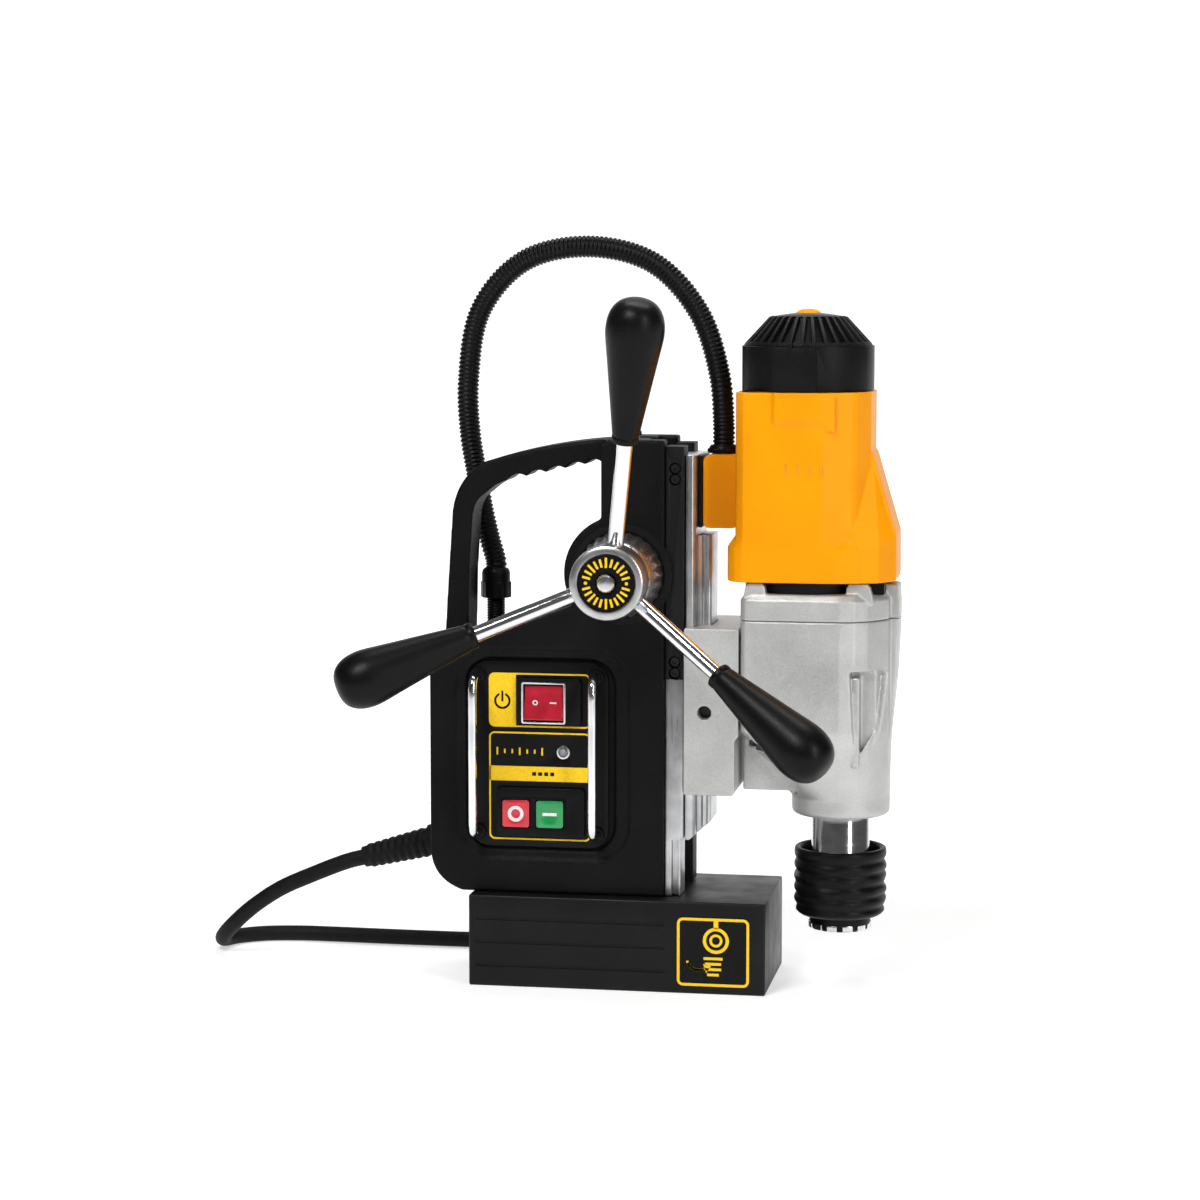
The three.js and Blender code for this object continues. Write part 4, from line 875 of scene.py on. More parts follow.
def switches(materials):
    y = PANEL.y0
    bezel("rocker_bezel", "rocker_frame", [(-53.2, -30.2, 146.8, 168.2)], materials)
    lip = cut(prism("rocker_surround", rounded(-54, -29.4, 146, 169, 1.2), y - 3.3, y - 2.4),
              prism("hole", rounded(-53, -30.4, 147, 168, 0.8), y - 5, y))
    show(ease_edges(lip, 0.25), "base", materials.bright)

    bezel("button_bezel", "button_frame", [(x - 8, x + 8, 87.7, 103.7) for x in (STOP_X, START_X)],
          materials)
    lip = cut(prism("button_surround", rounded(-66, -29.4, 86.9, 104.5, 1.2), y - 3.1, y - 2.4),
              prism("hole", rounded(-65.2, -49.2, 87.7, 103.7, 0.8), y - 5, y),
              prism("hole", rounded(-46.2, -30.2, 87.7, 103.7, 0.8), y - 5, y))
    show(ease_edges(lip, 0.2), "base", materials.plastic)

    for name, node, body_name, x, look, slot in (
            ("stop_cap", "stop_button", "stop", STOP_X, materials.red, "button_red"),
            ("start_cap", "start_button", "start", START_X, materials.green, "button_green")):
        cap = prism(name, rounded(x - 7.5, x + 7.5, 88.2, 103.2, 1.3), y - 3.9, y + 3.5)
        dish = lathe("dish", [(0, y - 3.3), (3, y - 3.4), (7.4, y - 4.6), (0, y - 4.6)],
                     (x, 0, BUTTONS_Z), "Y", 40)
        stem = block("stem", x - 2, x + 2, y + 3, y + 6, 93.7, 97.7)
        show(ease_edges(join(cut(cap, dish), stem), 0.5), body_name, look, node)
    ring = annulus("stop_mark", STOP_X, BUTTONS_Z, 4.4, 2.6, y - 4.05, y - 3.2)
    show(shade(ring), "stop", materials.white)
    bar = ease_edges(block("start_mark", -42.2, -34.2, y - 4.0, y - 3.2, 94.9, 96.6), 0.15)
    show(bar, "start", materials.white)

    tilt_profile = [(-4.2, -9.4), (-3.2, -5), (-2.3, -1), (-1.8, 2), (-1.45, 6), (-1.4, 9.4), (2.4, 9.4),
                    (3.6, 3), (3.6, -3), (2.4, -9.4)]
    rocker = prism("rocker_cap", [(u + y, v + 157.5) for u, v in tilt_profile], -52.6, -30.8, "X")
    show(ease_edges(rocker, 0.55), "rocker", materials.clear_red, "magnet_rocker")
    lean = Matrix.Rotation(math.atan2(0.5, 3.0), 3, "X")
    marks = [annulus("ring", 0, 0, 1.5, 0.8, -0.25, 0.25, 32), block("dash", 8.2, 11.8, -0.25, 0.25, -0.4,
                                                                     0.4)]
    marks = [moved(mark, (-46.4, y - 2.35, 157.6), lean) for mark in marks]
    show(merged("rocker_marks", marks), "rocker", materials.white)

    dome = [(0, y - 2.0), (1.2, y - 1.8), (2.2, y - 1.0), (2.5, y - 0.2), (2.5, y + 3.5), (0, y + 3.5)]
    show(shade(lathe("overload_lens", dome, LAMP, "Y", 40)), "base", materials.lens, "overload_lamp")
    rim = lathe("lamp_rim", [(2.7, y - 1.2), (3.6, y - 1.1), (4.2, y - 0.3), (4.2, y), (2.7, y),
                             (2.7, y - 1.2)],
                LAMP, "Y", 48)
    show(shade(rim), "base", materials.bright)


def guard_bars(materials):
    side = [(-28.5, 84.5), (-36, 84.5), (-40.6, 84.9), (-43.6, 86.6), (-45, 90), (-45.4, 110),
            (-45.6, 128), (-45.4, 146), (-45, 166.5), (-43.6, 169.9), (-40.6, 171.6), (-36, 172),
            (-28.5, 172)]
    for node, x in zip(("guard_bar_left", "guard_bar_right"), BARS_X):
        route = [(x, y, z) for y, z in side]
        bar = shade(tube(node + "_rod", smooth_path(route, 0.8), 2.35, 28), 60)
        show(bar, "base", materials.chrome, node)
        collars = [lathe("collar", [(2.5, -31.6), (4, -31.6), (4.4, -31), (4.4, -30.2), (2.5, -30.2),
                                    (2.5, -31.6)],
                         (x, 0, z), "Y", 40) for z in BAR_ENDS_Z]
        show(merged(node + "_collars", collars), "base", materials.plastic)


# ---------------------------------------------------------------- feed wheel
SPOKE_LEAN = math.tan(math.radians(17.5))


def on_spoke(i, r):
    a = math.radians(82 + 120 * i)
    return Vector((SHAFT[0] + r * math.cos(a), -64.5 - (r - 14) * SPOKE_LEAN, SHAFT[2] + r * math.sin(a)))


def feed_wheel(materials):
    cx, _, cz = SHAFT
    steps, rings = 96, []
    for y, reach, depth in ((-57.5, 19.2, 0.2), (-56.6, 19.9, 0.9), (-39.5, 23.3, 1.1),
                            (-37.2, 23.6, 0.9), (-36.2, 23, 0.2)):
        ring = []
        for i in range(steps):
            a, r = 2 * math.pi * i / steps, reach - depth * (i % 4 > 1)
            ring.append((cx + r * math.cos(a), y, cz + r * math.sin(a)))
        rings.append(ring)
    sides = [(k * steps + i, k * steps + (i + 1) % steps, (k + 1) * steps + (i + 1) % steps,
              (k + 1) * steps + i)
             for k in range(len(rings) - 1) for i in range(steps)]
    ends = [tuple(range(steps)), tuple(range(len(rings) * steps - steps, len(rings) * steps))]
    collar = shade(mesh_object("collar", [point for ring in rings for point in ring], sides + ends), 25)
    barrel = lathe("barrel", [(9, -32.8), (19.4, -32.8), (20.6, -34.6), (20.6, -55), (19.4, -57),
                              (18.4, -58.4), (18.4, -60), (19.2, -61), (19.9, -62), (20.1, -64),
                              (20.1, -80), (19.6, -81.4), (18.4, -82.1), (16.2, -82.1),
                              (15.7, -81.6), (15.5, -79.2), (9, -79.2), (9, -32.8)], SHAFT, "Y", 128)
    show(merged("feed_hub_skin", [shade(barrel, 30), collar]), "feed_wheel", materials.turned, "feed_hub")
    disc = lathe("hub_disc_skin", [(5.6, -80.6), (5.8, -81.3), (14.8, -81.5), (15.3, -81.1),
                                   (15.3, -79.4), (5.6, -79.4),
                                   (5.6, -80.6)], SHAFT, "Y", 96)
    show(shade(disc, 30), "feed_wheel", materials.label, "hub_disc")
    marks = []
    for i in range(24):
        a = math.radians(15 * i)
        if i % 12 == 0:
            marks.append(annulus("dot", cx + 11 * math.cos(a), cz + 11 * math.sin(a), 0.9, 0.05, -81.75,
                                 -81.2, 16))
            continue
        r0, r1 = (9.4, 12.6) if i % 3 else (8.9, 13.1)
        marks.append(stroke("tick", [(cx + r0 * math.cos(a), cz + r0 * math.sin(a)),
                                     (cx + r1 * math.cos(a),
                                      cz + r1 * math.sin(a))], 1.25, -81.75, -81.2))
    show(merged("hub_disc_print", marks), "feed_wheel", materials.gold)
    knob = [(0, -84.5), (3.2, -84.5), (4.2, -84.2), (4.8, -83.4), (4.9, -74), (0, -74)]
    show(shade(lathe("release_button_skin", knob, SHAFT, "Y", 48), 30), "hub_button", materials.bright,
         "release_button")
    for i in range(3):
        number = str(i + 1)
        path = [tuple(on_spoke(i, r)) for r in (11, 30, 60, 78, 90)]
        rod = shade(tube("spoke_rod_" + number, path, 4.35, 40), 60)
        show(rod, "feed_wheel", materials.chrome, "spoke_" + number)
        grip(i, number, materials)


def grip(i, number, materials):
    """A tapered ball-ended grip, with a moulding line round its neck."""
    shape = [(0, 0), (6.6, 0), (7.1, 0.4), (7.3, 1.2), (7.3, 3.2), (7.0, 3.8), (7.4, 5.4), (8.2, 11),
             (9.4, 19), (10.9, 29), (12.5, 40), (14, 50), (15.0, 56.5), (15.45, 61), (15.3, 65.5),
             (14.5, 69.6), (12.9, 73.3), (10.4, 76.3), (7.2, 78.2), (3.6, 79), (0, 79.2)]
    fine = smooth_path([(r, h, 0) for r, h in shape[6:]], 1.2)
    profile = shape[:6] + [(max(p[0], 0), p[1]) for p in fine]
    profile[-1] = (0, 79.2)
    body = lathe("knob_skin_" + number, profile, steps=72)
    start, ahead = on_spoke(i, 76), on_spoke(i, 150) - on_spoke(i, 76)
    moved(body, start, Vector((0, 0, 1)).rotation_difference(ahead).to_matrix())
    show(shade(body, 34), "feed_wheel", materials.grip, "knob_" + number)


# ---------------------------------------------------------------- drill head
def loft(name, low, z0, high, z1):
    """A solid between two outlines with the same number of points, at two heights."""
    n = len(low)
    points = [(x, y, z0) for x, y in low] + [(x, y, z1) for x, y in high]
    sides = [(i, (i + 1) % n, n + (i + 1) % n, n + i) for i in range(n)]
    return mesh_object(name, points, [tuple(range(n)), tuple(range(n, 2 * n)), *sides])


def hull(name, points):
    """The convex solid round some points."""
    work = bmesh.new()
    for p in points:
        work.verts.new(tuple(c * MM for c in p))
    bmesh.ops.convex_hull(work, input=work.verts)
    bmesh.ops.delete(work, geom=[v for v in work.verts if not v.link_faces], context="VERTS")
    bmesh.ops.recalc_face_normals(work, faces=work.faces)
    mesh = bpy.data.meshes.new(name)
    work.to_mesh(mesh)
    work.free()
    made = bpy.data.objects.new(name, mesh)
    bpy.context.scene.collection.objects.link(made)
    return made


def mirrored(points):
    """An outline in X,Y given its half on the -Y side, from left to right, closed by its mirror image."""
    return points + [(x, -y) for x, y in reversed(points)]


def slide_rail(materials):
    y = 24
    body = [(15, -18.5), (24.7, -18.5), (24.7, -11.4), (35.6, -11.4), (35.6, -y), (39.4, -y),
            (41, -y + 1.6), (41, -15.5), (43.4, -14), (44, -12.4), (46.2, -12.4), (47, -14), (48.5, -13)]
    bar = prism("slide_skin", mirrored(body), SLIDE.z0, SLIDE.z1, "Z")
    tools = [prism("slant", [(38, 81), (38, 82), (49.5, 91.8), (60, 91.8), (60, 81)], -30, 30),
             block("rack_slot", 14, 20, -6.3, 6.3, 81, 295), block("over_rib", 41, 60, -30, 30, 250, 300)]
    bar = ease_edges(cut(bar, *tools), 0.4)
    show(bar, "carriage", materials.silver, "slide")


def head_bracket(materials):
    side = [(36.2, 109), (63.2, 109), (64.2, 111), (64.2, 139.4), (66.2, 141.6), (66.2, 200.5),
            (36.2, 200.5)]
    tools = [block("rail", 35, 41.3, -24.3, 24.3, 108, 202), block("rib", 35, 48.8, -14.3, 14.3, 108,
                                                                   202)]
    tools += [rod("hole", 3.8, a, b, BRACKET_HOLE, "Y", 32) for a, b in ((-36, -18), (18, 36))]
    body = soften(cut(prism("head_bracket_skin", side, -35, 35), *tools), 0.6, 4, 0.4)
    show(body, "carriage", materials.cast, "head_bracket")
    x, _, z = BRACKET_HOLE
    heads = [screw_head("grub", x, s * 27, z, 3.6, 1, sign=-s) for s in (-1, 1)]
    show(merged("bracket_grub_screws", heads), "carriage", materials.dark_steel)


def case_plan(inset=0.0):
    near = [(66.5 + inset, -29), (67.6 + inset, -33.5 + inset), (70 + inset, -36.2 + inset),
            (74, -37 + inset), (121, -37 + inset), (129, -35 + inset), (136 - inset, -30 + inset),
            (142 - inset, -22), (146 - inset, -15)]
    return mirrored(near)


def gear_case(materials):
    seam, floor = CASE.z1, 134
    upper = prism("upper", case_plan(), 144, seam, "Z")
    mouth = [(x, y, 106) for x, y in polygon(SPINDLE_X, 0, 27, 40)]
    funnel = hull("funnel", [(x, y, 145) for x, y in case_plan()] + mouth)
    nose = lathe("nose", [(0, 96), (24.6, 96), (26.4, 97), (27, 98.6), (27, 146), (0, 146)],
                 (SPINDLE_X, 0, 0), steps=72)
    web = prism("web", [(66.5, 109.5), (104, 109.5), (104, 140), (66.5, 152)], -14, 14)
    wing = prism("wing", [(138, 112), (145.4, 112), (146.6, 140), (148.6, 160), (150.2, 178),
                          (151.3, seam), (138, seam)],
                 -9, 9)
    body = join(upper, funnel, nose, web, wing)
    panel = [(126.6, 178.5), (160, 178.5), (160, 150), (139.4, 146), (129.4, 128)]
    tools = []
    for s in (-1, 1):
        tools.append(prism("side_recess", panel, *sorted((s * 60, s * 24.5))))
        tools.append(prism("heel", [(60, 108), (97.5, 108), (97.5, 117.5), (70, 136.5), (60, 139)],
                           *sorted((s * 60, s * 14.2))))
    room = mirrored([(70.1, -28.5), (74, -33.4), (118.5, -33.4), (122, -30), (124.5, -21), (142, -14)])
    tools += [prism("room", room, floor, seam + 1, "Z"),
              rod("bore", 16.6, 95, 135, (SPINDLE_X, 0, 0), steps=64),
              rod("bearing_seat", 22.3, 112, 135, (SPINDLE_X, 0, 0), steps=64)]
    body = cut(body, *tools)
    ribs = []
    for s in (-1, 1):
        ribs.append(block("rib", 128.2, 131.8, *sorted((s * 32.5, s * 20)), 126, 175))
        line = smooth_path([(145.6, 0, 178), (143.8, 0, 160.6), (140.6, 0, 143), (131.5, 0, 126.5)], 3)
        ribs.append(tube("curve", [(x, s * (21.5 + 3.0 * i / len(line)), z)
                                   for i, (x, _, z) in enumerate(line)], 1.7, 12))
    pad = lathe("pad", [(4.3, 120), (8, 120), (8, 146), (4.3, 146), (4.3, 120)], (*IDLER, 0), steps=32)
    body = soften(join(body, *ribs, pad), 0.62, 5)
    show(body, "carriage", materials.cast, "gear_case")


def gear_case_lid(materials):
    z0, z1 = LID.z0, 220
    lid = prism("lid", case_plan(), z0, z1 - 3.4, "Z")
    crown = loft("crown", case_plan(), z1 - 3.5, case_plan(2.6), z1)
    skirt = prism("skirt", [(138, z0), (151.3, z0), (151.3, 214), (150.8, 224), (143.5, 224.5),
                            (142, 220), (138, 220)], -9, 9)
    ears = []
    for s in (-1, 1):
        left = [(68.2, 215), (69.5, 223.4), (71.5, 226), (78.6, 226), (80.4, 224), (81.2, 218),
                (81.2, 215)]
        right = [(123.2, 215), (124, 223.6), (125.4, 226), (135, 226), (137, 224), (138.4, 218),
                 (138.4, 215)]
        ears += [prism("ear", left, *sorted((s * 34.6, s * 17))),
                 prism("ear", right, *sorted((s * 30, s * 14)))]
    body = join(lid, crown, skirt, *ears)
    tools = [prism("room", case_plan(3.6), z0 - 1, z1 - 5, "Z"),
             rod("bore", 8.4, 204, 221, (MOTOR_X, 0, 0), steps=48)]
    body = soften(cut(body, *tools), 0.6, 5, 0.35)
    show(body, "carriage", materials.cast, "gear_case_cover")
    neck = lathe("motor_neck", [(9, 219.6), (33, 219.6), (33.6, 221), (33.6, 226.2), (9, 226.2),
                                (9, 219.6)], (MOTOR_X, 0, 0))
    side = block("neck_side", 80, 144, -24, 24, 219.8, 226)
    show(merged("motor_neck", [shade(neck), shade(side)]), "carriage", materials.plastic)


def motor_plan(inset=0.0):
    near = [(63.5 + inset, -29), (64.4 + inset, -33.6 + inset), (68.5 + inset, -37 + inset),
            (109, -37 + inset), (111.5, -36.6 + inset), (126.5 - inset / 2, -30.6 + inset),
            (129 - inset / 2, -28.6 + inset), (135.7 - inset, -17.5 + inset / 2)]
    return mirrored(near)


def motor_housing(materials):
    z0, z1 = MOTOR.z0, MOTOR.z1
    shell = prism("shell", motor_plan(), z0, z1, "Z")
    wide = mirrored([(58.8, -25), (60.2, -30.5), (63.6, -34.6), (68, -37), (110, -37), (118, -36.4),
                     (130, -33.6), (138, -28)])
    slim = mirrored([(62.4, -25), (63, -29), (65, -33), (69, -37), (110, -37), (116, -34.6), (127, -30.4),
                     (134, -26)])
    flange = prism("flange", wide, z0, 245.2, "Z")
    chamfer = loft("chamfer", wide, 245, slim, 250.4)
    bulge_side = [(126, z0), (149.2, z0), (149.9, 229), (149.7, 252.4), (136.8, 295.8), (126, 300)]
    bulge = prism("bulge", bulge_side, -17.5, 17.5)
    cheek = hull("cheek", [(x, y, z) for x, y, z in (
        (126, -33.5, z0), (141, -29.5, z0), (149.6, -17, z0), (126, -33.5, 246), (141.4, -28.6, 247.6),
        (149.4, -17, 250.6), (128, -30.2, 251), (139.6, -23, 252), (137, -17, 291), (130, -17, 293),
        (126, 33.5, z0), (141, 29.5, z0), (149.6, 17, z0), (126, 33.5, 246), (141.4, 28.6, 247.6),
        (149.4, 17, 250.6), (128, 30.2, 251), (139.6, 23, 252), (137, 17, 291), (130, 17, 293))])
    pads = [hull("pad",
                 [(x, s * y, z) for y, x0, x1, low, slant in ((39.4, 85.4, 106.8, 315, 2.6),
                                                              (36.4, 83.2, 109.8, 309.4, 9))
                         for x, z in ((x0, z1), (x0, low), (x1, low),
                                      (x1 + slant, low - 2 if slant > 3 else low), (x1 + slant, z1))])
            for s in (-1, 1)]
    outside = join(shell, flange, chamfer, bulge, cheek, *pads)
    room = prism("room", motor_plan(3), z0 - 1, z1 + 1, "Z")
    bulge_room = prism("bulge_room", [(120, z0 - 1), (146, z0 - 1), (146, 251), (137, 281), (120, 281)],
                       -15, 15)
    window = block("box_window", 60, 70, -6, 6, 262, 284)
    body = soften(cut(outside, room, bulge_room, window), 0.6, 5, 0.3)
    show(body, "carriage", materials.yellow, "motor_housing")
    # The vent slots are thin strips of darker yellow on the face: painted shade in place of the slots' depth.
    vents = [block("vent", 91 + 6.4 * i, 92.1 + 6.4 * i, -37.35, -36.6, 284.5, 290.5) for i in range(4)]
    show(merged("motor_vent_lines", vents), "carriage", materials.yellow_shade)


def cap_plan(share=1.0):
    near = [(64.2, -8), (65.6, -18), (70.4, -26.4), (78, -32.6), (84, -35.2), (107.6, -35.2), (117, -32),
            (127, -25), (133, -16), (135, -8)]
    return mirrored([(MOTOR_X + (x - MOTOR_X) * share, y * share) for x, y in near])


def motor_cap(materials):
    z0, top = CAP.z0, 353.3
    skirt = cut(prism("skirt", cap_plan(), z0, top, "Z"), prism("room", cap_plan(0.92), z0 - 1, top - 1.6,
                                                                "Z"))
    pads = [prism("pad", [(84.2, z0), (107.8, z0), (107.8, 351.6), (106.6, 352.8), (85.4, 352.8),
                          (84.2, 351.6)],
                  *sorted((s * 37.2, s * 33))) for s in (-1, 1)]
    skirt = ease_edges(join(skirt, *pads), 0.7)
    cone = lathe("cone", [(0, 352), (33, 352), (32.4, 353.6), (18.6, 366.8), (18.2, 368.4), (0, 368.6)],
                 (MOTOR_X, 0, 0))
    fins = []
    for i in range(32):
        a = 2 * math.pi * i / 32
        u, v = Vector((math.cos(a), math.sin(a))), Vector((-math.sin(a), math.cos(a)))
        side = [(16, 366), (19.6, 369.4), (21.4, 368.8), (34.6, 354.6), (34.9, 352.2), (20, 352.2)]
        points = [(MOTOR_X + u.x * r + v.x * w * (0.55 + r / 48), u.y * r + v.y * w * (0.55 + r / 48), z)
                  for w in (-0.9, 0.9) for r, z in side]
        n = len(side)
        faces = [tuple(range(n)), tuple(range(n, 2 * n))] + [(k, (k + 1) % n, n + (k + 1) % n, n + k)
                                                             for k in range(n)]
        fins.append(ease_edges(mesh_object("fin", points, faces), 0.3, 2))
    fins.append(lathe("band", [(31.8, 352.2), (34.9, 352.2), (35, 353.8), (33.6, 355.6), (31.8, 355.6),
                               (31.8, 352.2)], (MOTOR_X, 0, 0)))
    cap = merged("motor_cap_skin", [skirt, shade(cone, 30), *fins])
    show(cap, "carriage", materials.cap, "motor_cap")
    pockets = []
    for s in (-1, 1):
        pocket = prism("pocket", rounded(92.4, 103.2, 343.6, 355.6, 2, 6), *sorted((s * 37.4, s * 25)))
        hole = prism("pocket_room", rounded(94.6, 101, 345.6, 357.6, 1.6, 6), *sorted((s * 38, s * 32)))
        pockets.append(ease_edges(cut(pocket, hole), 0.4))
    show(merged("cap_screw_pockets", pockets), "carriage", materials.cap)
    heads = [screw_head("head", 97.8, s * 32.2, 349.4, 2.5, 1.6, sign=s) for s in (-1, 1)]
    show(merged("cap_screws", heads), "carriage", materials.bright)
    plate = lathe("cap_plate", [(7.2, 368.8), (16.4, 368.8), (17.4, 369.2), (16.6, 369.7), (7.8, 370.9),
                                (7.2, 370.6), (7.2, 368.8)],
                  (MOTOR_X, 0, 0))
    show(shade(plate, 30), "carriage", materials.dark_steel)
    button = lathe("cap_button", [(0, 368.8), (7, 368.8), (7, 370.6), (6.4, 371.6), (4.6, 372.6),
                                  (2.4, 373.1), (0, 373.2)], (MOTOR_X, 0, 0))
    show(shade(button, 40), "carriage", materials.yellow)


def junction_box(materials):
    box = span("junction_box")
    shell = prism("junction_box_skin", rounded(box.x0, box.x1, box.z0, box.z1, 3.5), box.y0, box.y1)
    tools = [block("room", 47, 64, -11.5, 11.5, 257, 290), rod("mouth", 5, 288, 295, (*UPPER_GLAND, 0))]
    show(soften(cut(shell, *tools), 0.5, 5, 0.4), "carriage", materials.yellow, "junction_box")
    plate = filled("junction_box_back_skin", span("junction_box_back"))
    show(ease_edges(plate, 0.6), "carriage", materials.plastic, "junction_box_back")
    gland("conduit_collar_upper", UPPER_GLAND, 294, 4.4, 9.2, materials, "carriage",
          "conduit_gland_upper")
    gland("conduit_collar_lower", LOWER_GLAND, 209.5, 16.5, 8.9, materials, "base", "conduit_gland_lower",
          stem=193)


def chuck(materials):
    x, centre = SPINDLE_X, (SPINDLE_X, 0, 0)
    profile = [(0, 84), (9.6, 84), (9.6, 32.4), (10, 32), (15.4, 32), (16.4, 32.8), (16.6, 34),
               (16.6, 40), (16.6, 70), (16, 71), (16, 111.5), (15.6, 112.2), (11.8, 112.4), (11.8, 153),
               (0, 153)]
    shaft = shade(lathe("spindle_skin", profile, centre, steps=128), 30)
    teeth, step = [], 2 * math.pi / 32
    for i in range(32):
        for r, offset in ((18.56, -0.29), (20.81, -0.13), (20.81, 0.13), (18.56, 0.29)):
            a = math.atan2(IDLER[1], IDLER[0] - x) + (i + 0.5 + offset) * step
            teeth.append((x + r * math.cos(a), r * math.sin(a)))
    gear = ease_edges(prism("spindle_gear", teeth, 153, 165, "Z"), 0.15, 1)
    stub = lathe("stub", [(0, 152), (11.8, 152), (8, 165), (8, 178), (0, 178)], centre)
    show(merged("spindle_skin", [shaft, gear, shade(stub)]), "spindle", materials.polished, "spindle")
    nose = lathe("chuck_nose", [(12.6, 31.6), (15.9, 31.6), (16.8, 32.6), (16.9, 39), (12.6, 39),
                                (12.6, 31.6)], centre)
    show(shade(nose, 30), "spindle", materials.plastic)
    lugs = []
    for i in range(12):
        lug = ease_edges(block("lug", 15, 17.3, -2.9, 2.9, 31.9, 35.2), 0.4)
        lugs.append(moved(lug, centre, Matrix.Rotation(math.radians(-100 + 30 * i), 3, "Z")))
    show(merged("chuck_lugs", lugs), "spindle", materials.bright)
    wave = [(20.8, 39.6), (22, 39.6), (23.2, 40.4)]
    for s in (i / 64 for i in range(65)):
        groove = 0.95 * (0.5 - 0.5 * math.cos(2 * math.pi * 5 * s)) ** 1.6
        wave.append((24.4 + min(1, s * 5) - groove, 41.6 + 32.2 * s))
    wave += [(25.4, 75.2), (25.1, 76.6), (24.3, 77.2), (23, 77.2), (22.2, 76.6), (21.6, 75), (21.4, 70.4),
             (18.8, 69.8), (17, 69.6), (17, 41), (17.4, 39.8), (20.8, 39.6)]
    sleeve = shade(lathe("chuck_sleeve_skin", wave, centre, steps=160), 50)
    ripple_sleeve(sleeve)
    show(sleeve, "sleeve", materials.sleeve, "chuck_sleeve")


def ripple_sleeve(sleeve):
    """Moulds shallow uneven lands between the sleeve's ribs, as a gripped rubber sleeve has."""
    for vertex in sleeve.data.vertices:
        dx, dy, z = vertex.co.x / MM - SPINDLE_X, vertex.co.y / MM, vertex.co.z / MM
        r = math.hypot(dx, dy)
        if r < 23 or not 42 < z < 74:
            continue
        a = math.atan2(dy, dx)
        lift = 0.35 * math.sin(7 * a + 0.5 * z) * math.sin(math.pi * (z - 42) / 32)
        vertex.co.x, vertex.co.y = (SPINDLE_X + dx * (r + lift) / r) * MM, dy * (r + lift) / r * MM


# ---------------------------------------------------------------- pieces inside, light and floor
def finish_inside(materials):
    """The pieces inside keep their CAD shape and take procedural materials."""
    looks = {
        materials.copper: ("magnet_coil", "commutator"),
        materials.potting: ("magnet_potting",),
        materials.dark_steel: ("base_bolt_rear", "base_bolt_front"),
        materials.bronze: ("pinion_bush_near", "pinion_bush_far", "brush_near", "brush_far"),
        materials.turned: ("pinion_shaft", "rack", "stator", "rotor_core", "armature_shaft",
                           "spindle_bearing", "idler_gear"),
        materials.plastic: ("cooling_fan",),
        materials.board: ("circuit_board",),
    }
    for look, names in looks.items():
        for name in names:
            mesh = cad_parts[name].data
            mesh.materials.clear()
            mesh.materials.append(look)


def area_light(name, place, target, size, power):
    data = bpy.data.lights.new(name, "AREA")
    data.shape, (data.size, data.size_y), data.energy = "RECTANGLE", size, power
    lamp = bpy.data.objects.new(name, data)
    lamp.location = place
    lamp.rotation_euler = (Vector(target) - Vector(place)).to_track_quat("-Z", "Y").to_euler()
    bpy.context.scene.collection.objects.link(lamp)


def studio():
    """A pale floor and a white glow behind the press, lit by three soft boxes."""
    scene = bpy.context.scene
    world = bpy.data.worlds.new("studio")
    scene.world = world
    world.use_nodes = True
    nodes, links = world.node_tree.nodes, world.node_tree.links
    place, split = nodes.new("ShaderNodeTexCoord"), nodes.new("ShaderNodeSeparateXYZ")
    glow, back = nodes.new("ShaderNodeMapRange"), nodes["Background"]
    glow.interpolation_type = "SMOOTHSTEP"
    for socket, value in (("From Min", 0.6), ("From Max", 0.93), ("To Min", 0.1), ("To Max", 1.1)):
        glow.inputs[socket].default_value = value
    links.new(place.outputs["Generated"], split.inputs["Vector"])
    links.new(split.outputs["Y"], glow.inputs["Value"])
    links.new(glow.outputs["Result"], back.inputs["Strength"])
    back.inputs["Color"].default_value = (1, 1, 1, 1)
    area_light("key", (-0.5, -1.45, 1.75), (0.02, 0, 0.2), (0.7, 0.7), 29)
    area_light("fill", (1.35, -1.3, 0.8), (0.05, 0, 0.2), (0.25, 1.3), 13)
    area_light("top", (0.1, 0.35, 1.5), (0.05, 0, 0.2), (1.0, 0.5), 9)
    far = 9000
    floor = mesh_object("floor", [(-far, -far, 0), (far, -far, 0), (far, far, 0), (-far, far, 0)],
                        [(0, 1, 2, 3)])
    look = Look("floor_white", (0.75, 0.75, 0.75), 0.8)
    look.set(**{"Specular IOR Level": 0.0})
    split = look.node("ShaderNodeSeparateXYZ")
    look.link(look.place, split.inputs["Vector"])
    total = look.node("ShaderNodeMath", operation="ADD")
    look.link(look.spread(split.outputs["Y"], 0.12, 0.5, -1.0, -0.43), total.inputs[0])
    look.link(look.spread(split.outputs["Y"], 0.0, 0.62, 0.2, 1.4), total.inputs[1])
    look.link(total.outputs[0], look.shader.inputs["Emission Strength"])
    look.set(**{"Emission Color": (1, 1, 1, 1)})
    floor.data.materials.append(look.material)
    scene.view_settings.view_transform = "Standard"


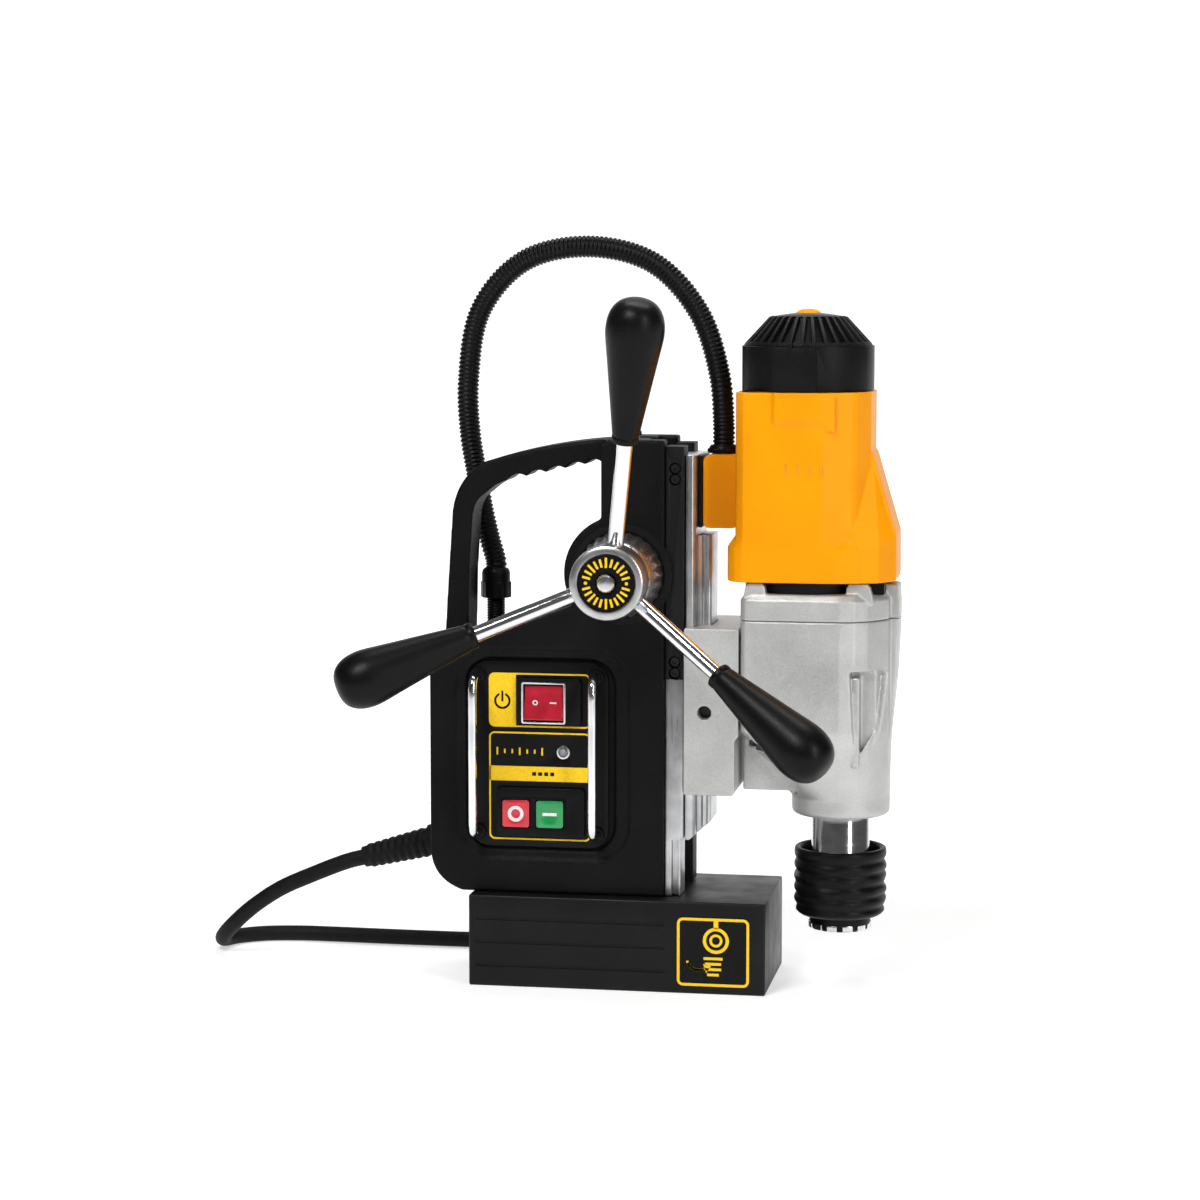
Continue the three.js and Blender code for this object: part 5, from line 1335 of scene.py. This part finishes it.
def all_materials():
    return SimpleNamespace(
        powder=powder_black(), magnet=magnet_black(), plastic=moulded_black(), yellow=motor_yellow(),
        cast=cast_silver(),
        panel=moulded_black("panel_black", (0.004, 0.004, 0.0045), 0.3, 0.42),
        cap=moulded_black("cap_black", (0.007, 0.007, 0.0078), 0.4, 0.52),
        grip=moulded_black("grip_black", (0.0045, 0.0045, 0.0048), 0.3, 0.44, 0.0009),
        label=moulded_black("label_black", (0.005, 0.005, 0.0055), 0.24, 0.32),
        potting=moulded_black("potting", (0.014, 0.014, 0.015), 0.5, 0.6),
        rubber=rubber(), hose=rubber("hose", (0.004, 0.004, 0.0045), 0.3, 0.46),
        sleeve=rubber("sleeve", (0.004, 0.004, 0.004), 0.32, 0.5),
        silver=machined("silver", (0.55, 0.555, 0.565), (0.26, 0.42), (1, 1, 60)),
        turned=machined("turned", (0.55, 0.55, 0.56), (0.24, 0.38), (60, 1, 60)),
        polished=machined("polished", (0.68, 0.68, 0.69), (0.08, 0.18), (60, 60, 1)),
        bright=machined("bright", (0.7, 0.7, 0.71), (0.14, 0.26), (1, 1, 1), 0.002),
        dark_steel=machined("dark_steel", (0.035, 0.035, 0.037), (0.3, 0.45), (1, 1, 1), 0.001),
        copper=machined("copper", (0.6, 0.26, 0.12), (0.25, 0.4), (1, 1, 1), 0.0012),
        bronze=machined("bronze", (0.52, 0.36, 0.14), (0.25, 0.4), (1, 1, 1), 0.0012),
        chrome=chrome(), red=gloss("red", (0.62, 0.012, 0.03)), green=gloss("green", (0.005, 0.28, 0.07)),
        clear_red=gloss("clear_red", (0.5, 0.015, 0.035), (0.1, 0.2)),
        white=print_ink("white_ink", (0.8, 0.8, 0.8)),
        gold=print_ink("gold_ink", (0.97, 0.6, 0.02)), ink=print_ink("black_ink", (0.006, 0.006, 0.006)),
        # darker yellow for the vent strips: painted shade
        yellow_shade=gloss("yellow_shade", (0.8, 0.33, 0.0), (0.4, 0.5)),
        board=board(), lens=lamp_glass())


materials = all_materials()
camera()
for build in (mains_lead, cord_boot, magnet_base, base_label, frame_casting, boss_rim, carry_handle,
              guides, column_details, control_panel, switches, guard_bars, feed_wheel, slide_rail,
              head_bracket, gear_case, gear_case_lid, motor_housing, motor_cap, junction_box, chuck,
              finish_inside, conduit):
    build(materials)
studio()
